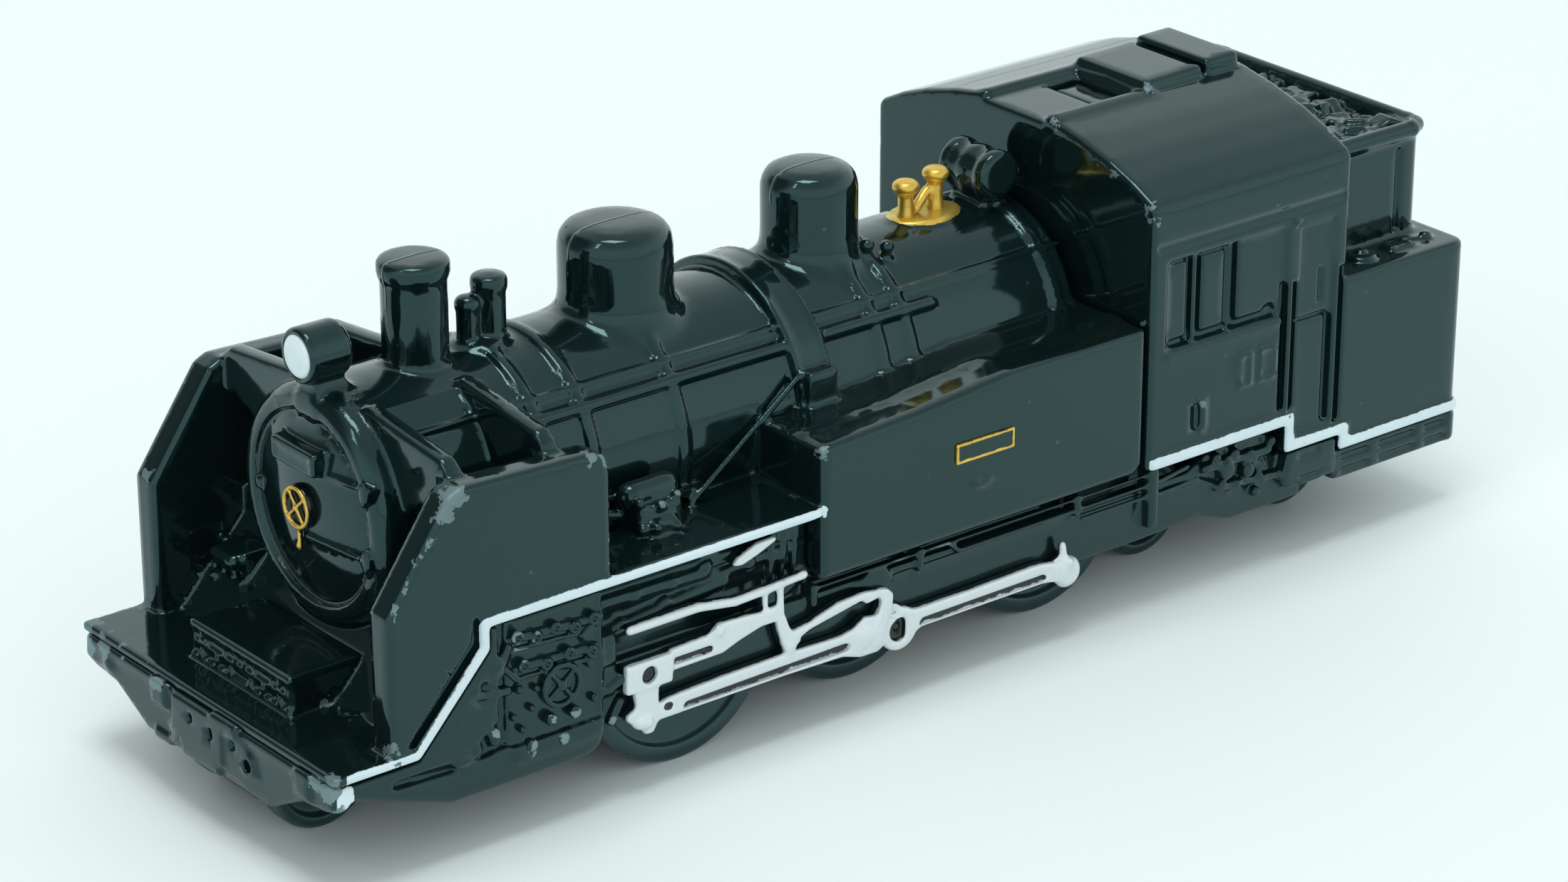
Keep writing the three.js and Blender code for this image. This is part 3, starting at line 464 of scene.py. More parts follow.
def frame_black(name="frame_black"):
    """Black frame, glossy but with a duller, slightly grained film, and zinc-grey rubs."""
    n = Nodes(name)
    fine, mid, wide = n.noise(0.18, 3), n.noise(0.8, 3), n.noise(5, 2)
    chip = n.math("ADD", n.attr("chip"), n.math("MULTIPLY", n.math("SUBTRACT", mid, 0.5), 1.3))
    chip = n.math("ADD", chip, n.math("MULTIPLY", n.math("SUBTRACT", fine, 0.5), 0.5))
    chip = n.below(chip, 0.0, 0.03)
    wear = n.math("ADD", n.math("SUBTRACT", 5.4, n.attr("bend")), n.math("MULTIPLY", n.math("SUBTRACT", 0.80, wide), 14.0))
    chip = n.math("MAXIMUM", chip, n.below(wear, 0.0, 0.4))
    wobble = n.math("MULTIPLY", n.math("SUBTRACT", n.noise(0.45, 2), 0.5), 0.16)
    white = n.below(n.math("ADD", n.attr("white"), wobble), 0.0, 0.022)
    c = n.mix(wide, (0.0040, 0.0095, 0.0098, 1), (0.0065, 0.0135, 0.0138, 1))
    c = n.mix(white, c, WHITE)
    c = n.mix(chip, c, n.mix(fine, ZINC, (0.18, 0.25, 0.27, 1)))
    r = n.mix(mid, 0.10, 0.20, colour=False)
    r = n.mix(n.math("MAXIMUM", chip, white), r, 0.45, colour=False)
    film = n.bump(n.noise(0.5, 2), 0.3, 0.006)
    film = n.bump(n.noise(2.6, 2), 0.5, 0.03, film)
    film = n.bump(n.math("SUBTRACT", white, chip), 0.7, 0.03, film)
    return n.done(c, r, n.math("MULTIPLY", chip, 0.45), film, ior=1.56, tint=GLOSS_TINT)


def wheel_black():
    n = Nodes("wheel_black")
    mid = n.noise(1.2, 3)
    tread = n.below(n.math("ADD", n.attr("tread"), n.math("MULTIPLY", n.math("SUBTRACT", n.noise(0.5, 3), 0.5), 0.5)), 0.0, 0.1)
    c = n.mix(mid, (0.010, 0.021, 0.023, 1), (0.016, 0.030, 0.032, 1))
    c = n.mix(n.math("MULTIPLY", tread, 0.5), c, (0.055, 0.068, 0.068, 1))
    r = n.mix(n.noise(0.4, 3), 0.26, 0.42, colour=False)
    r = n.mix(tread, r, 0.55, colour=False)
    return n.done(c, r, 0.0, n.bump(n.noise(0.25, 3), 0.35, 0.012), ior=1.56, tint=GLOSS_TINT)


def rod_silver():
    """Silver brushed over the raised faces of a black relief."""
    n = Nodes("rod_silver")
    fine, mid = n.noise(0.14, 3), n.noise(0.6, 3)
    lack = n.math("ADD", n.attr("bare"), n.math("MULTIPLY", n.math("SUBTRACT", mid, 0.5), 0.22))
    lack = n.math("ADD", lack, n.math("MULTIPLY", n.math("SUBTRACT", fine, 0.5), 0.10))
    silver = n.below(lack, 0.0, 0.03)
    flake = n.mix(fine, (0.60, 0.66, 0.67, 1), (0.80, 0.86, 0.87, 1))
    c = n.mix(silver, BLACK2, n.mix(mid, flake, (0.66, 0.72, 0.74, 1)))
    r = n.mix(silver, 0.22, n.mix(fine, 0.30, 0.46, colour=False), colour=False)
    film = n.bump(n.noise(0.22, 3), 0.5, 0.02)
    film = n.bump(silver, 0.6, 0.02, film)
    return n.done(c, r, n.math("MULTIPLY", silver, 0.42), film, ior=1.5)


def gold_paint():
    n = Nodes("gold_paint")
    fine, mid = n.noise(0.12, 3), n.noise(0.5, 3)
    lack = n.math("ADD", n.attr("bare"), n.math("MULTIPLY", n.math("SUBTRACT", mid, 0.5), 0.5))
    on = n.below(lack, 0.0, 0.04)
    c = n.mix(on, BLACK, n.mix(fine, (0.55, 0.33, 0.035, 1), (0.86, 0.60, 0.14, 1)))
    return n.done(c, n.mix(on, 0.12, n.mix(fine, 0.28, 0.42, colour=False), colour=False), n.math("MULTIPLY", on, 0.8),
                  n.bump(n.noise(0.25, 3), 0.5, 0.02), ior=1.5)


def lens_white():
    n = Nodes("lens_white")
    c = n.mix(n.noise(0.8, 3), (0.66, 0.80, 0.84, 1), (0.78, 0.88, 0.91, 1))
    return n.done(c, n.mix(n.noise(0.3, 2), 0.22, 0.36, colour=False), 0.0, n.bump(n.noise(0.4, 3), 0.4, 0.02), ior=1.5)


def plain_steel():
    n = Nodes("steel")
    c = n.mix(n.noise(0.3, 3), (0.42, 0.44, 0.45, 1), (0.60, 0.61, 0.62, 1))
    return n.done(c, n.mix(n.noise(0.25, 3, stretch=(1, 0.15, 1)), 0.24, 0.42, colour=False), 1.0, n.bump(n.noise(0.2, 2), 0.3, 0.01))


CASTING, FRAME, WHEELS, RODS, GILT, LENS, STEEL = (
    casting_paint(), frame_black(), wheel_black(), rod_silver(), gold_paint(), lens_white(), plain_steel())
BODY = "chassis"

# ------------------------------------------------------------------ shared marks
LINE_FRONT = [(0.9, 6.42), (4.98, 6.42), (9.15, 10.98), (9.15, 12.33), (30.4, 12.33)]
LINE_REAR = [(53.35, 8.68), (63.70, 8.68), (63.70, 7.0), (67.95, 7.0), (67.95, 6.05), (77.6, 6.05)]


def blotches(p, spots):
    """Negative inside the union of round spots (s, y, h, radius)."""
    d = np.full(len(p), 9.0)
    for s, y, h, r in spots:
        d = np.minimum(d, np.linalg.norm(p - np.array([s, y, h]), axis=1) - r)
    return d


def streak(p, a, b, r):
    return near_path(p, [a, b], (0, 1, 2)) - r


VOX = 0.125


# ------------------------------------------------------------------ boiler casting
def dome(F, s, r, top):
    F.add(turned("Z", [(0, 20), (r, 20), (r, top - 1.25), (r - 0.12, top - 0.72), (r - 0.42, top - 0.32), (r - 0.9, top - 0.12), (r - 1.6, top - 0.03), (0, top)], s, 0), 0.05)


def boiler_casting():
    F = Field((-0.9, 53.6), (0, 12.5), (5.2, 27.9), VOX, half=True)
    A, C = F.add, F.cut
    deck = [(0.02, 6.75), (4.85, 6.75), (8.9, 11.1), (8.9, 12.6), (30.28, 12.6), (30.28, 12.1), (9.4, 12.1), (9.4, 10.9), (5.07, 6.25), (0.02, 6.25)]
    A(plateY(deck, -11.58, 11.58, 0.08), 0)
    # smokebox, barrel and bands
    A(drum("X", 6.3, 6.9, 52.6, 0, 15.25, 0.5), 0.3)
    A(drum("X", 6.08, 6.75, 9.0, 0, 15.25, 0.42), 0.5)
    C(drum("X", 5.1, 3.0, 7.0, 0, 15.25, 0.02), 0.1)
    R = 15.4
    A((lambda S, Y, H: np.maximum(np.sqrt((S - 6.12 - R) ** 2 + Y ** 2 + (H - 15.25) ** 2) - R,
                                  np.sqrt(Y ** 2 + (H - 15.25) ** 2) - 4.84), (6.1, 8.2, 0, 4.9, 10.3, 20.2)), 0.05)
    for s0, s1, r in ((16.6, 17.3, 6.53), (19.4, 20.1, 6.53), (25.0, 25.7, 6.53), (38.4, 39.1, 6.53), (40.4, 41.1, 6.53), (50.6, 51.4, 6.5)):
        A(drum("X", r, s0, s1, 0, 15.25, 0.06), 0.01)
    A(drum("X", 6.82, 32.7, 35.0, 0, 15.25, 0.2), 0.12)
    A(drum("X", 6.93, 32.7, 33.05, 0, 15.25, 0.12), 0.05)
    A(drum("X", 6.93, 34.65, 35.0, 0, 15.25, 0.12), 0.05)
    A(box(32.9, 34.8, 6.3, 7.25, 15.9, 17.9, 0.15), 0.1)
    A(box(9.8, 17.6, -4.2, 4.2, 8.95, 13.0, 0.2), 0.6)
    # chimney, pipes, domes and their flared feet
    A(turned("Z", [(0, 20), (1.74, 20), (1.70, 22.3), (1.70, 25.85), (1.82, 26.1), (1.87, 26.25), (1.87, 26.75), (1.78, 26.95), (1.5, 27.05), (0, 27.12)], 13.35, 0), 0.35)
    A(turned("Z", [(0, 20.2), (1.65, 20.2), (1.5, 21.6), (1.2, 21.8), (0, 21.9)], 17.25, 0), 0.3)
    A(turned("Z", [(0, 21), (0.86, 21), (0.86, 24.1), (0.97, 24.3), (0.97, 24.8), (0.85, 25.0), (0, 25.14)], 17.9, 0), 0.1)
    A(turned("Z", [(0, 21), (0.60, 21), (0.60, 23.4), (0.70, 23.55), (0.68, 23.9), (0.45, 24.15), (0, 24.22)], 16.55, 0), 0.1)
    for s, r, top in ((25.85, 3.02, 26.12), (38.65, 2.62, 26.28)):
        A(turned("Z", [(0, 19.5), (r + 0.85, 19.5), (r + 0.5, 20.9), (r + 0.12, 21.6), (r, 22.2), (0, 22.2)], s, 0), 0.45)
        dome(F, s, r, top)
    for s, y, top in ((40.55, 2.55, 22.1), (41.75, 2.75, 21.8)):
        A(rod((s, y, 20.2), (s, y, top - 0.5), 0.26), 0.25)
        A(blob((s, y, top - 0.2), (0.42, 0.42, 0.36)), 0.15)
    A(plateZ([(s, y * 0.72) for s, y in arc(46.6, 0, 2.2, 0, 360, 24)], 20.9, 21.7, 0.15), 0.25)
    A(turned("Y", [(0, -1.95), (1.1, -1.95), (1.4, -1.7), (1.4, -1.15), (1.28, -1.05), (1.28, -0.35), (1.36, -0.3), (1.36, 0.3), (1.28, 0.35),
                   (1.28, 1.05), (1.4, 1.15), (1.4, 1.7), (1.1, 1.95), (0, 1.95)], 50.5, 23.25), 0.05)
    A(box(49.7, 51.3, -1.3, 1.3, 20.8, 22.5, 0.2), 0.5)
    # headlamp bracket and its pipe, smoothed into the ring
    A(plateY([(6.85, 20.2), (6.95, 22.0), (8.6, 22.0), (9.3, 20.4)], -0.8, 0.8, 0.15), 0.6)
    A(drum("X", 1.47, 6.2, 8.8, 0, 23.45, 0.22), 0.35)
    C(drum("X", 1.16, 5.0, 6.42, 0, 23.45, 0.02), 0.05)
    # pipes and rails along the barrel
    A(rod((16.6, 5.28, 18.95), (42.7, 5.28, 18.95), 0.33), 0.15)
    A(rod((16.4, 5.12, 18.35), (42.6, 5.12, 18.35), 0.2), 0.12)
    A(rod((9.6, 4.55, 19.8), (52.4, 4.55, 19.8), 0.16), 0.12)
    A(rod((32.9, 6.45, 17.75), (25.2, 7.0, 12.75), 0.2), 0.1)
    A(rod((8.7, 3.0, 20.75), (14.3, 3.0, 20.75), 0.16), 0.1)
    # air pump on the running board
    A(box(20.7, 23.5, 5.6, 8.7, 12.3, 14.2, 0.25), 0.3)
    A(rod((21.0, 7.45, 14.5), (23.2, 7.45, 14.5), 0.72), 0.15)
    A(box(21.1, 22.9, 7.8, 9.15, 12.3, 13.5, 0.2), 0.2)
    for s, y, h in ((20.9, 8.4, 14.4), (22.0, 8.75, 14.15), (23.2, 8.4, 14.3), (21.4, 9.2, 13.2), (22.7, 9.2, 13.0), (20.8, 8.8, 13.1), (23.5, 8.2, 13.2)):
        A(blob((s, y, h), (0.3, 0.3, 0.3)), 0.1)
    A(rod((23.5, 7.2, 13.6), (26.5, 6.2, 13.0), 0.3), 0.2)
    A(rod((20.6, 7.0, 13.4), (18.9, 6.2, 13.6), 0.3), 0.2)
    # gussets from the smokebox out to the deflectors
    for s in (8.25, 13.9):
        A(plateX([(2.2, 19.3), (2.8, 21.25), (4.2, 21.1), (9.3, 20.55), (9.9, 20.1), (10.4, 19.2), (10.4, 17.9), (9.0, 18.0), (7.5, 17.4), (5.2, 16.0)], s - 0.1, s + 0.95, 0.28), 0.2)
    # step box with its relief
    A(plateY([(2.35, 6.5), (2.35, 8.9), (6.6, 8.9), (5.2, 6.5)], -4.48, 4.48, 0.08), 0.04)
    A(box(2.12, 2.65, -4.56, 4.56, 8.4, 8.88, 0.08), 0.04)
    A(box(2.05, 2.75, -4.6, 4.6, 6.85, 7.1, 0.08), 0.05)
    A(box(2.15, 2.75, 0, 4.1, 7.62, 7.9, 0.08), 0.04)
    for y in (1.35, 2.9, 4.25):
        A(box(2.15, 2.75, y - 0.12, y + 0.12, 6.8, 8.6, 0.06), 0.04)
    for y, h, r in ((0.4, 8.15, 0.2), (2.1, 7.4, 0.24), (3.5, 8.2, 0.2), (3.6, 7.3, 0.22), (0.9, 7.3, 0.2)):
        A(blob((2.22, y, h), (r, r, r)), 0.06)
    for s, y, h, r in ((4.6, 6.6, 6.72, 0.3), (6.3, 8.9, 8.55, 0.3), (6.8, 7.6, 9.25, 0.3), (7.4, 9.3, 10.1, 0.3), (4.9, 8.8, 6.75, 0.35), (5.2, 4.75, 6.9, 0.3)):
        A(blob((s, y, h), (r, r * 1.3, r * 0.6)), 0.3)
    # valve gear boxes beside the smokebox saddle
    A(box(6.6, 8.3, 6.3, 8.7, 8.4, 10.4, 0.25), 0.35)
    A(rod((6.4, 6.9, 9.9), (6.4, 8.4, 9.9), 0.45), 0.15)
    for y in (6.6, 7.5, 8.4):
        A(blob((6.25, y, 9.2), (0.28, 0.3, 0.3)), 0.12)
    # deflectors
    outline = [(3.5, 6.5), (3.5, 14.1), (7.2, 19.42), (8.0, 19.8), (16.0, 19.5), (16.7, 19.15), (16.93, 18.3), (16.93, 12.35), (9.0, 12.35), (9.0, 11.1), (4.9, 6.5)]
    A(plateY(outline, 9.65, 11.42, 0.34), 0.2)
    C(plateY([(8.4, 11.5), (8.62, 12.75), (8.84, 12.75), (8.84, 11.25), (4.85, 6.9), (4.5, 7.0)], 10.9, 13, 0.02), 0.08)
    # side tanks
    top = [(30.3, 15.7), (30.8, 15.88), (37, 16.2), (43, 16.78), (52.7, 16.8)]
    A(plateY([(30.3, 8.4)] + top + [(52.7, 8.9), (52.15, 8.4)], 8.2, 11.44, 0.42), 0.1)
    A(plateY([(30.35, 12.2)] + top + [(52.7, 12.2)], 4.6, 9.4, 0.3), 0.4)
    A(blob((41.1, 11.42, 11.15), (0.75, 0.26, 0.34)), 0.04)
    C(blob((41.1, 11.7, 11.32), (0.55, 0.3, 0.2)), 0.04)
    A(rod((43.0, 9.6, 16.78), (52.5, 9.6, 16.85), 0.12), 0.1)
    # door furniture and number board, which are not alike on both sides
    F.whole()
    C(box(19.5, 51.0, -3.4, 3.4, 4.0, 17.5, 0.8), 0.1)
    A(plateY([(5.72, 17.62), (7.0, 17.62), (7.0, 18.95), (5.72, 18.88)], -1.92, 1.92, 0.14), 0.06)
    C(box(4.5, 5.8, -1.6, 1.6, 17.85, 18.62, 0.04), 0.05)
    for y0, s0, s1, h, r in ((2.1, 6.5, 6.78, 17.75, 0.14), (0.7, 6.12, 6.62, 14.15, 0.2)):
        A(rod((s0, y0, h), (s1, 4.9, h), r), 0.04)
        A(box(6.35, 7.2, 4.75, 5.62, h - 0.4, h + 0.4, 0.1), 0.08)
        A(rod((6.5, 5.2, h - 0.55), (6.5, 5.2, h + 0.55), 0.2), 0.05)
    A(box(6.5, 7.2, -4.85, -4.15, 14.75, 15.5, 0.12), 0.06)
    for a in (64, 118, 212, 248, 296):
        t = math.radians(a)
        A(blob((6.78, 5.4 * math.cos(t), 15.25 + 5.4 * math.sin(t)), (0.14, 0.2, 0.2)), 0.06)
    F.soften(0.09)

    def marks(p):
        s, y, h = p.T
        front = near_path(p, LINE_FRONT) - 0.33
        out = 11.3 - np.abs(y)
        white = np.maximum(front, out)
        white = np.maximum(white, 0.75 - s)
        gold = np.full(len(p), 9.0)
        pad = np.hypot((s - 46.6), y / 0.72) - 2.25
        gold = np.minimum(gold, np.maximum(pad, 21.35 - h))
        # grey where the coat has chipped
        chip = blotches(p, [
            (7.7, 11.2, 19.5, 0.8), (7.1, 11.35, 18.9, 0.6), (15.8, 11.2, 19.35, 0.45), (16.7, 11.3, 19.0, 0.5), (3.6, 11.3, 6.9, 0.5),
            (0.1, 11.5, 6.6, 0.8), (0.2, 10.4, 6.75, 0.4), (0.1, -11.2, 6.6, 0.8), (0.2, -9.9, 6.7, 0.4), (0.2, -7.9, 6.7, 0.3), (3.3, -10.8, 7.0, 0.6),
            (2.6, -9.9, 6.8, 0.35), (3.7, -10.6, 14.2, 0.5), (30.35, 11.25, 15.75, 0.5), (5.0, 9.4, 7.2, 0.5), (4.4, 9.7, 6.8, 0.4), (4.1, 4.4, 6.9, 0.5),
            (2.5, 3.3, 7.0, 0.25), (2.9, -3.9, 8.3, 0.3), (16.93, 11.0, 15.4, 0.3), (16.93, 11.0, 13.6, 0.25), (8.6, 10.2, 19.5, 0.3)])
        chip = np.minimum(chip, streak(p, (6.9, 11.4, 18.7), (4.4, 11.4, 15.2), 0.16))
        chip = np.minimum(chip, streak(p, (4.3, 11.35, 15.0), (3.75, 11.35, 14.2), 0.1))
        chip = np.minimum(chip, streak(p, (16.95, 11.4, 18.6), (16.95, 11.4, 13.0), 0.16))
        chip = np.maximum(chip, -0.9)
        top_parts = (h > 24.5) & (((s > 10.9) & (s < 15.4)) | ((s > 22) & (s < 30)) | ((s > 35.5) & (s < 42)))
        low = 0.04 * ((s < 30.3) & (h < 12.75) & (s > 0.3)).astype(float) * np.clip((9.8 - np.abs(y)) * 2, 0, 1)
        low = np.maximum(low, 0.34 * np.clip(1.25 - np.sqrt(((s - 8.2) / 1.3) ** 2 + ((y - 2.4) / 1.9) ** 2 + ((h - 20.4) / 1.7) ** 2), 0, 1))
        return {"white": white, "gold": gold, "chip": chip, "seam": top_parts.astype(float), "rough": low}
    return piece("boiler_body", F, BODY, CASTING, marks, ADAPT, ["boiler_casting"])


ADAPT = 0.055


# ------------------------------------------------------------------ cab and bunker casting
def cab_casting():
    F = Field((52.2, 78.4), (0, 12.4), (5.2, 27.9), VOX, half=True)
    A, C = F.add, F.cut
    roof = [(11.44, 23.3), (11.2, 23.65), (9.6, 24.45), (7.6, 25.2), (5.2, 25.85), (2.6, 26.35), (0, 26.5)]
    section = [(-11.44, 5.75), (11.44, 5.75)] + roof + [(-y, h) for y, h in reversed(roof[:-1])]
    A(plateX(section, 52.95, 67.7, 0.3), 0)
    A(plateZ([(66.5, -11.44)] + arc(76.4, -10.54, 0.9, 270, 360, 5) + arc(76.4, 10.54, 0.9, 0, 90, 5) + [(66.5, 11.44)], 5.75, 16.12, 0.28), 0.05)
    A(plateZ([(66.8, -8.57)] + arc(75.3, -7.67, 0.9, 270, 360, 4) + arc(75.3, 7.67, 0.9, 0, 90, 4) + [(66.8, 8.57)], 15.4, 22.3, 0.1), 0.35)
    rail = [(67.4, 8.5), (75.2, 8.5), (75.95, 8.1), (76.05, 7.5), (76.05, 0)]
    for a, b in zip(rail[:-1], rail[1:]):
        A(rod((a[0], a[1], 22.35), (b[0], b[1], 22.35), 0.5), 0.12)
    C(box(66.0, 75.5, -7.75, 7.75, 21.35, 25.0, 0.2), 0.1)
    A(plateX(section, 64.0, 67.7, 0.3), 0.0)
    # heaped coal
    rng = np.random.default_rng(11)
    A(box(66.9, 75.7, -8.0, 8.0, 20.6, 21.75, 0.1), 0.05)
    for i in range(9):
        for j in range(9):
            s = 67.6 + 0.98 * i + rng.uniform(-0.35, 0.35)
            y = 0.1 + 0.92 * j + rng.uniform(-0.35, 0.35)
            size = rng.uniform(0.38, 0.72, 3)
            rise = 0.35 * max(0.0, 1 - ((s - 70.5) / 6) ** 2)
            if s < 75.5 and y < 7.8:
                A(lump((s, y, 21.62 + rise + rng.uniform(-0.15, 0.2)), size, rng.uniform(0, 3.1), rng.uniform(-0.6, 0.6), 0.16), 0.06)
    # steps cut out above the frame
    C(box(50, 63.35, -14, 14, 3.0, 8.4, 0.02), 0.02)
    C(box(63.2, 67.7, -14, 14, 3.0, 6.72, 0.02), 0.02)
    # painted ledge along the bottom edge
    for b in ((53.2, 63.95, 8.36, 9.02), (63.38, 64.05, 6.8, 9.02), (63.38, 68.3, 6.7, 7.32), (67.62, 68.3, 5.8, 7.3)):
        A(box(b[0], b[1], 11.0, 11.62, b[2], b[3], 0.16), 0.04)
    A(plateZ([(67.6, -11.62)] + arc(76.55, -10.62, 1.0, 270, 360, 5) + arc(76.55, 10.62, 1.0, 0, 90, 5) + [(67.6, 11.62)], 5.76, 6.36, 0.18), 0.04)
    # roof: sunken strip between rails, hatch, two ventilators
    C(plateY([(52.0, 27.6), (52.0, 26.02), (59.6, 26.02), (60.0, 27.6)], -2.45, 2.45, 0.05), 0.25)
    A(plateX([(2.35, 25.6), (2.35, 26.2), (2.75, 26.42), (3.3, 26.25), (3.3, 25.6)], 53.3, 60.2, 0.12), 0.25)
    C(box(57.1, 59.5, -1.95, 1.95, 25.3, 28.0, 0.05), 0.04)
    A(box(57.4, 59.3, -1.65, 1.65, 25.0, 25.8, 0.06), 0.03)
    A(plateY([(59.7, 25.0), (60.05, 26.85), (64.6, 26.95), (64.6, 25.0)], -2.95, 2.95, 0.35), 0.12)
    A(plateY([(64.5, 25.0), (64.5, 27.15), (67.05, 27.2), (67.3, 25.0)], -2.95, 2.95, 0.35), 0.1)
    C(box(64.3, 64.62, -3.2, 3.2, 26.3, 28.0, 0.05), 0.05)
    A(blob((60.3, 3.0, 26.2), (0.35, 0.25, 0.3)), 0.1)
    # window recess with pillars, sill, doorway, plates and handles
    side = 11.44
    C(box(54.1, 62.75, side - 0.16, 13, 15.05, 20.25, 0.06), 0.05)
    C(box(54.45, 62.4, side - 0.5, 13, 15.2, 15.62, 0.06), 0.05)
    C(box(54.45, 59.4, side - 0.45, 13, 19.95, 20.16, 0.05), 0.05)
    for s0, s1, d in ((55.66, 56.0, 0.6), (56.3, 56.68, 0.6), (58.4, 58.62, 0.4), (58.86, 59.36, 0.65)):
        C(box(s0, s1, side - d, 13, 15.25, 20.1, 0.05), 0.04)
    A(box(58.64, 58.84, 10.6, side - 0.04, 15.2, 20.2, 0.06), 0.03)
    A(box(56.02, 56.28, 10.6, side - 0.06, 15.2, 20.2, 0.06), 0.03)
    C(blob((61.9, side - 0.1, 15.7), (0.5, 0.4, 0.28)), 0.06)
    A(box(54.0, 62.9, 10.8, side + 0.13, 14.62, 14.95, 0.1), 0.06)
    C(box(62.76, 63.12, side - 0.55, 13, 9.4, 16.95, 0.06), 0.06)
    C(box(63.42, 63.92, side - 0.55, 13, 9.3, 16.8, 0.06), 0.06)
    A(rod((63.27, side + 0.0, 9.3), (63.27, side + 0.0, 16.9), 0.18), 0.04)
    C(box(62.82, 62.98, side - 0.2, 13, 16.8, 20.1, 0.04), 0.06)
    C(box(63.98, 66.65, side - 0.13, 13, 7.75, 19.95, 0.06), 0.06)
    C(box(66.24, 66.64, side - 0.5, 13, 7.9, 14.3, 0.06), 0.06)
    C(box(67.05, 67.5, side - 0.5, 13, 7.6, 16.9, 0.06), 0.06)
    A(rod((66.86, side + 0.0, 7.9), (66.86, side + 0.0, 17.0), 0.16), 0.04)
    C(box(64.05, 66.35, side - 0.45, 13, 14.28, 14.52, 0.05), 0.04)
    C(box(65.66, 65.9, side - 0.4, 13, 15.1, 17.15, 0.05), 0.05)
    A(blob((63.66, side + 0.02, 20.3), (0.3, 0.2, 0.26)), 0.06)
    C(blob((63.85, side + 0.1, 20.1), (0.2, 0.3, 0.16)), 0.05)
    for s0, s1 in ((59.6, 60.6), (61.05, 62.4)):
        A(box(s0, s1, side - 0.3, side + 0.17, 11.6, 13.6, 0.1), 0.03)
        C(box(s0 + 0.2, s1 - 0.2, side + 0.0, 13, 11.82, 13.38, 0.06), 0.03)
    A(box(56.5, 57.25, side - 0.3, side + 0.17, 9.8, 11.8, 0.15), 0.06)
    C(box(56.35, 56.75, side - 0.25, 13, 9.9, 11.5, 0.08), 0.06)
    C(plateX([(side - 0.15, 21.0), (13, 21.0), (13, 21.25), (side - 0.15, 21.25)], 53.4, 67.3, 0.02), 0.35)
    # bunker side ribs and rear tank fittings
    C(box(74.2, 74.55, 8.3, 9.2, 16.4, 21.4, 0.06), 0.08)
    A(drum("Z", 0.95, 15.6, 16.45, 70.4, 9.75, 0.15), 0.12)
    A(drum("Z", 0.4, 15.6, 16.7, 70.4, 9.75, 0.12), 0.06)
    A(box(72.3, 74.2, 9.2, 10.3, 15.6, 16.35, 0.12), 0.08)
    for s, y in ((72.6, 9.45), (73.9, 9.45), (72.6, 10.1), (73.9, 10.1)):
        A(blob((s, y, 16.38), (0.18, 0.18, 0.14)), 0.04)
    A(rod((68.3, 9.0, 16.15), (69.6, 9.0, 16.15), 0.22), 0.1)
    A(rod((74.4, 9.3, 16.15), (75.6, 9.9, 16.1), 0.2), 0.1)
    A(drum("Z", 0.36, 15.6, 16.5, 75.6, 9.7, 0.1), 0.08)
    A(box(76.9, 77.6, 3.4, 6.4, 8.4, 9.0, 0.12), 0.1)
    A(box(76.9, 77.6, 0, 3.2, 12.0, 12.5, 0.12), 0.1)
    for y in (7.6, ):
        A(rod((77.32, y, 9.6), (77.32, y, 14.2), 0.16), 0.08)
    A(drum("X", 0.95, 76.6, 77.55, 0, 14.3, 0.15), 0.15)
    # pockets for the wheels
    C(box(52.0, 55.7, 5.9, 8.3, 3.0, 12.2, 0.2), 0.1)
    C(box(65.5, 73.2, 3.9, 6.2, 3.0, 6.35, 0.1), 0.1)
    C(box(56.6, 66.2, 2.9, 9.4, 3.0, 12.0, 0.6), 0.1)
    C(box(69.0, 75.2, 2.9, 9.4, 3.0, 12.0, 0.6), 0.1)
    F.whole()
    F.soften(0.09)

    def marks(p):
        s, y, h = p.T
        white = np.maximum(near_path(p, LINE_REAR) - 0.36, 11.42 - np.abs(y))
        corner = (s > 76.0)
        bent = np.maximum.reduce([np.abs(h - 6.06) - 0.34, 76.0 - s, 10.6 - np.abs(y)])
        white = np.where(corner, np.minimum(bent, 9), white)
        chip = blotches(p, [
            (53.0, 11.3, 23.5, 0.6), (53.2, 11.35, 23.0, 0.45), (53.1, 3.1, 26.1, 0.4), (53.0, 8.2, 24.7, 0.3), (67.6, 9.8, 24.2, 0.35), (53.0, -11.2, 23.4, 0.35),
            (57.0, 11.6, 11.4, 0.22), (63.4, 11.5, 9.2, 0.25), (60.2, 3.0, 26.6, 0.32), (67.5, 11.3, 23.0, 0.3), (53.0, 10.9, 17.0, 0.25), (76.0, 8.4, 22.6, 0.35),
            (64.9, 11.6, 7.3, 0.2), (75.9, -8.2, 22.7, 0.4), (77.0, -11.0, 8.0, 0.3)])
        chip = np.maximum(chip, -0.9)
        rough = ((h > 21.0) & (s > 67.6) & (np.abs(y) < 7.9) & (s < 75.6)).astype(float) * 0.35
        return {"white": white, "gold": np.full(len(p), 9.0), "chip": chip, "seam": np.zeros(len(p)), "rough": rough}
    return piece("cab_body", F, BODY, CASTING, marks, ADAPT, ["cab_casting"])


# ------------------------------------------------------------------ frame
AXLES = {"pony": (4.1, 3.0, 4.3), "driver1": (22.5, 5.8, 9.5), "driver2": (35.55, 5.8, 7.55), "driver3": (48.75, 5.8, 7.55),
         "trailing1": (58.2, 3.0, 5.7), "trailing2": (69.4, 3.0, 5.7)}


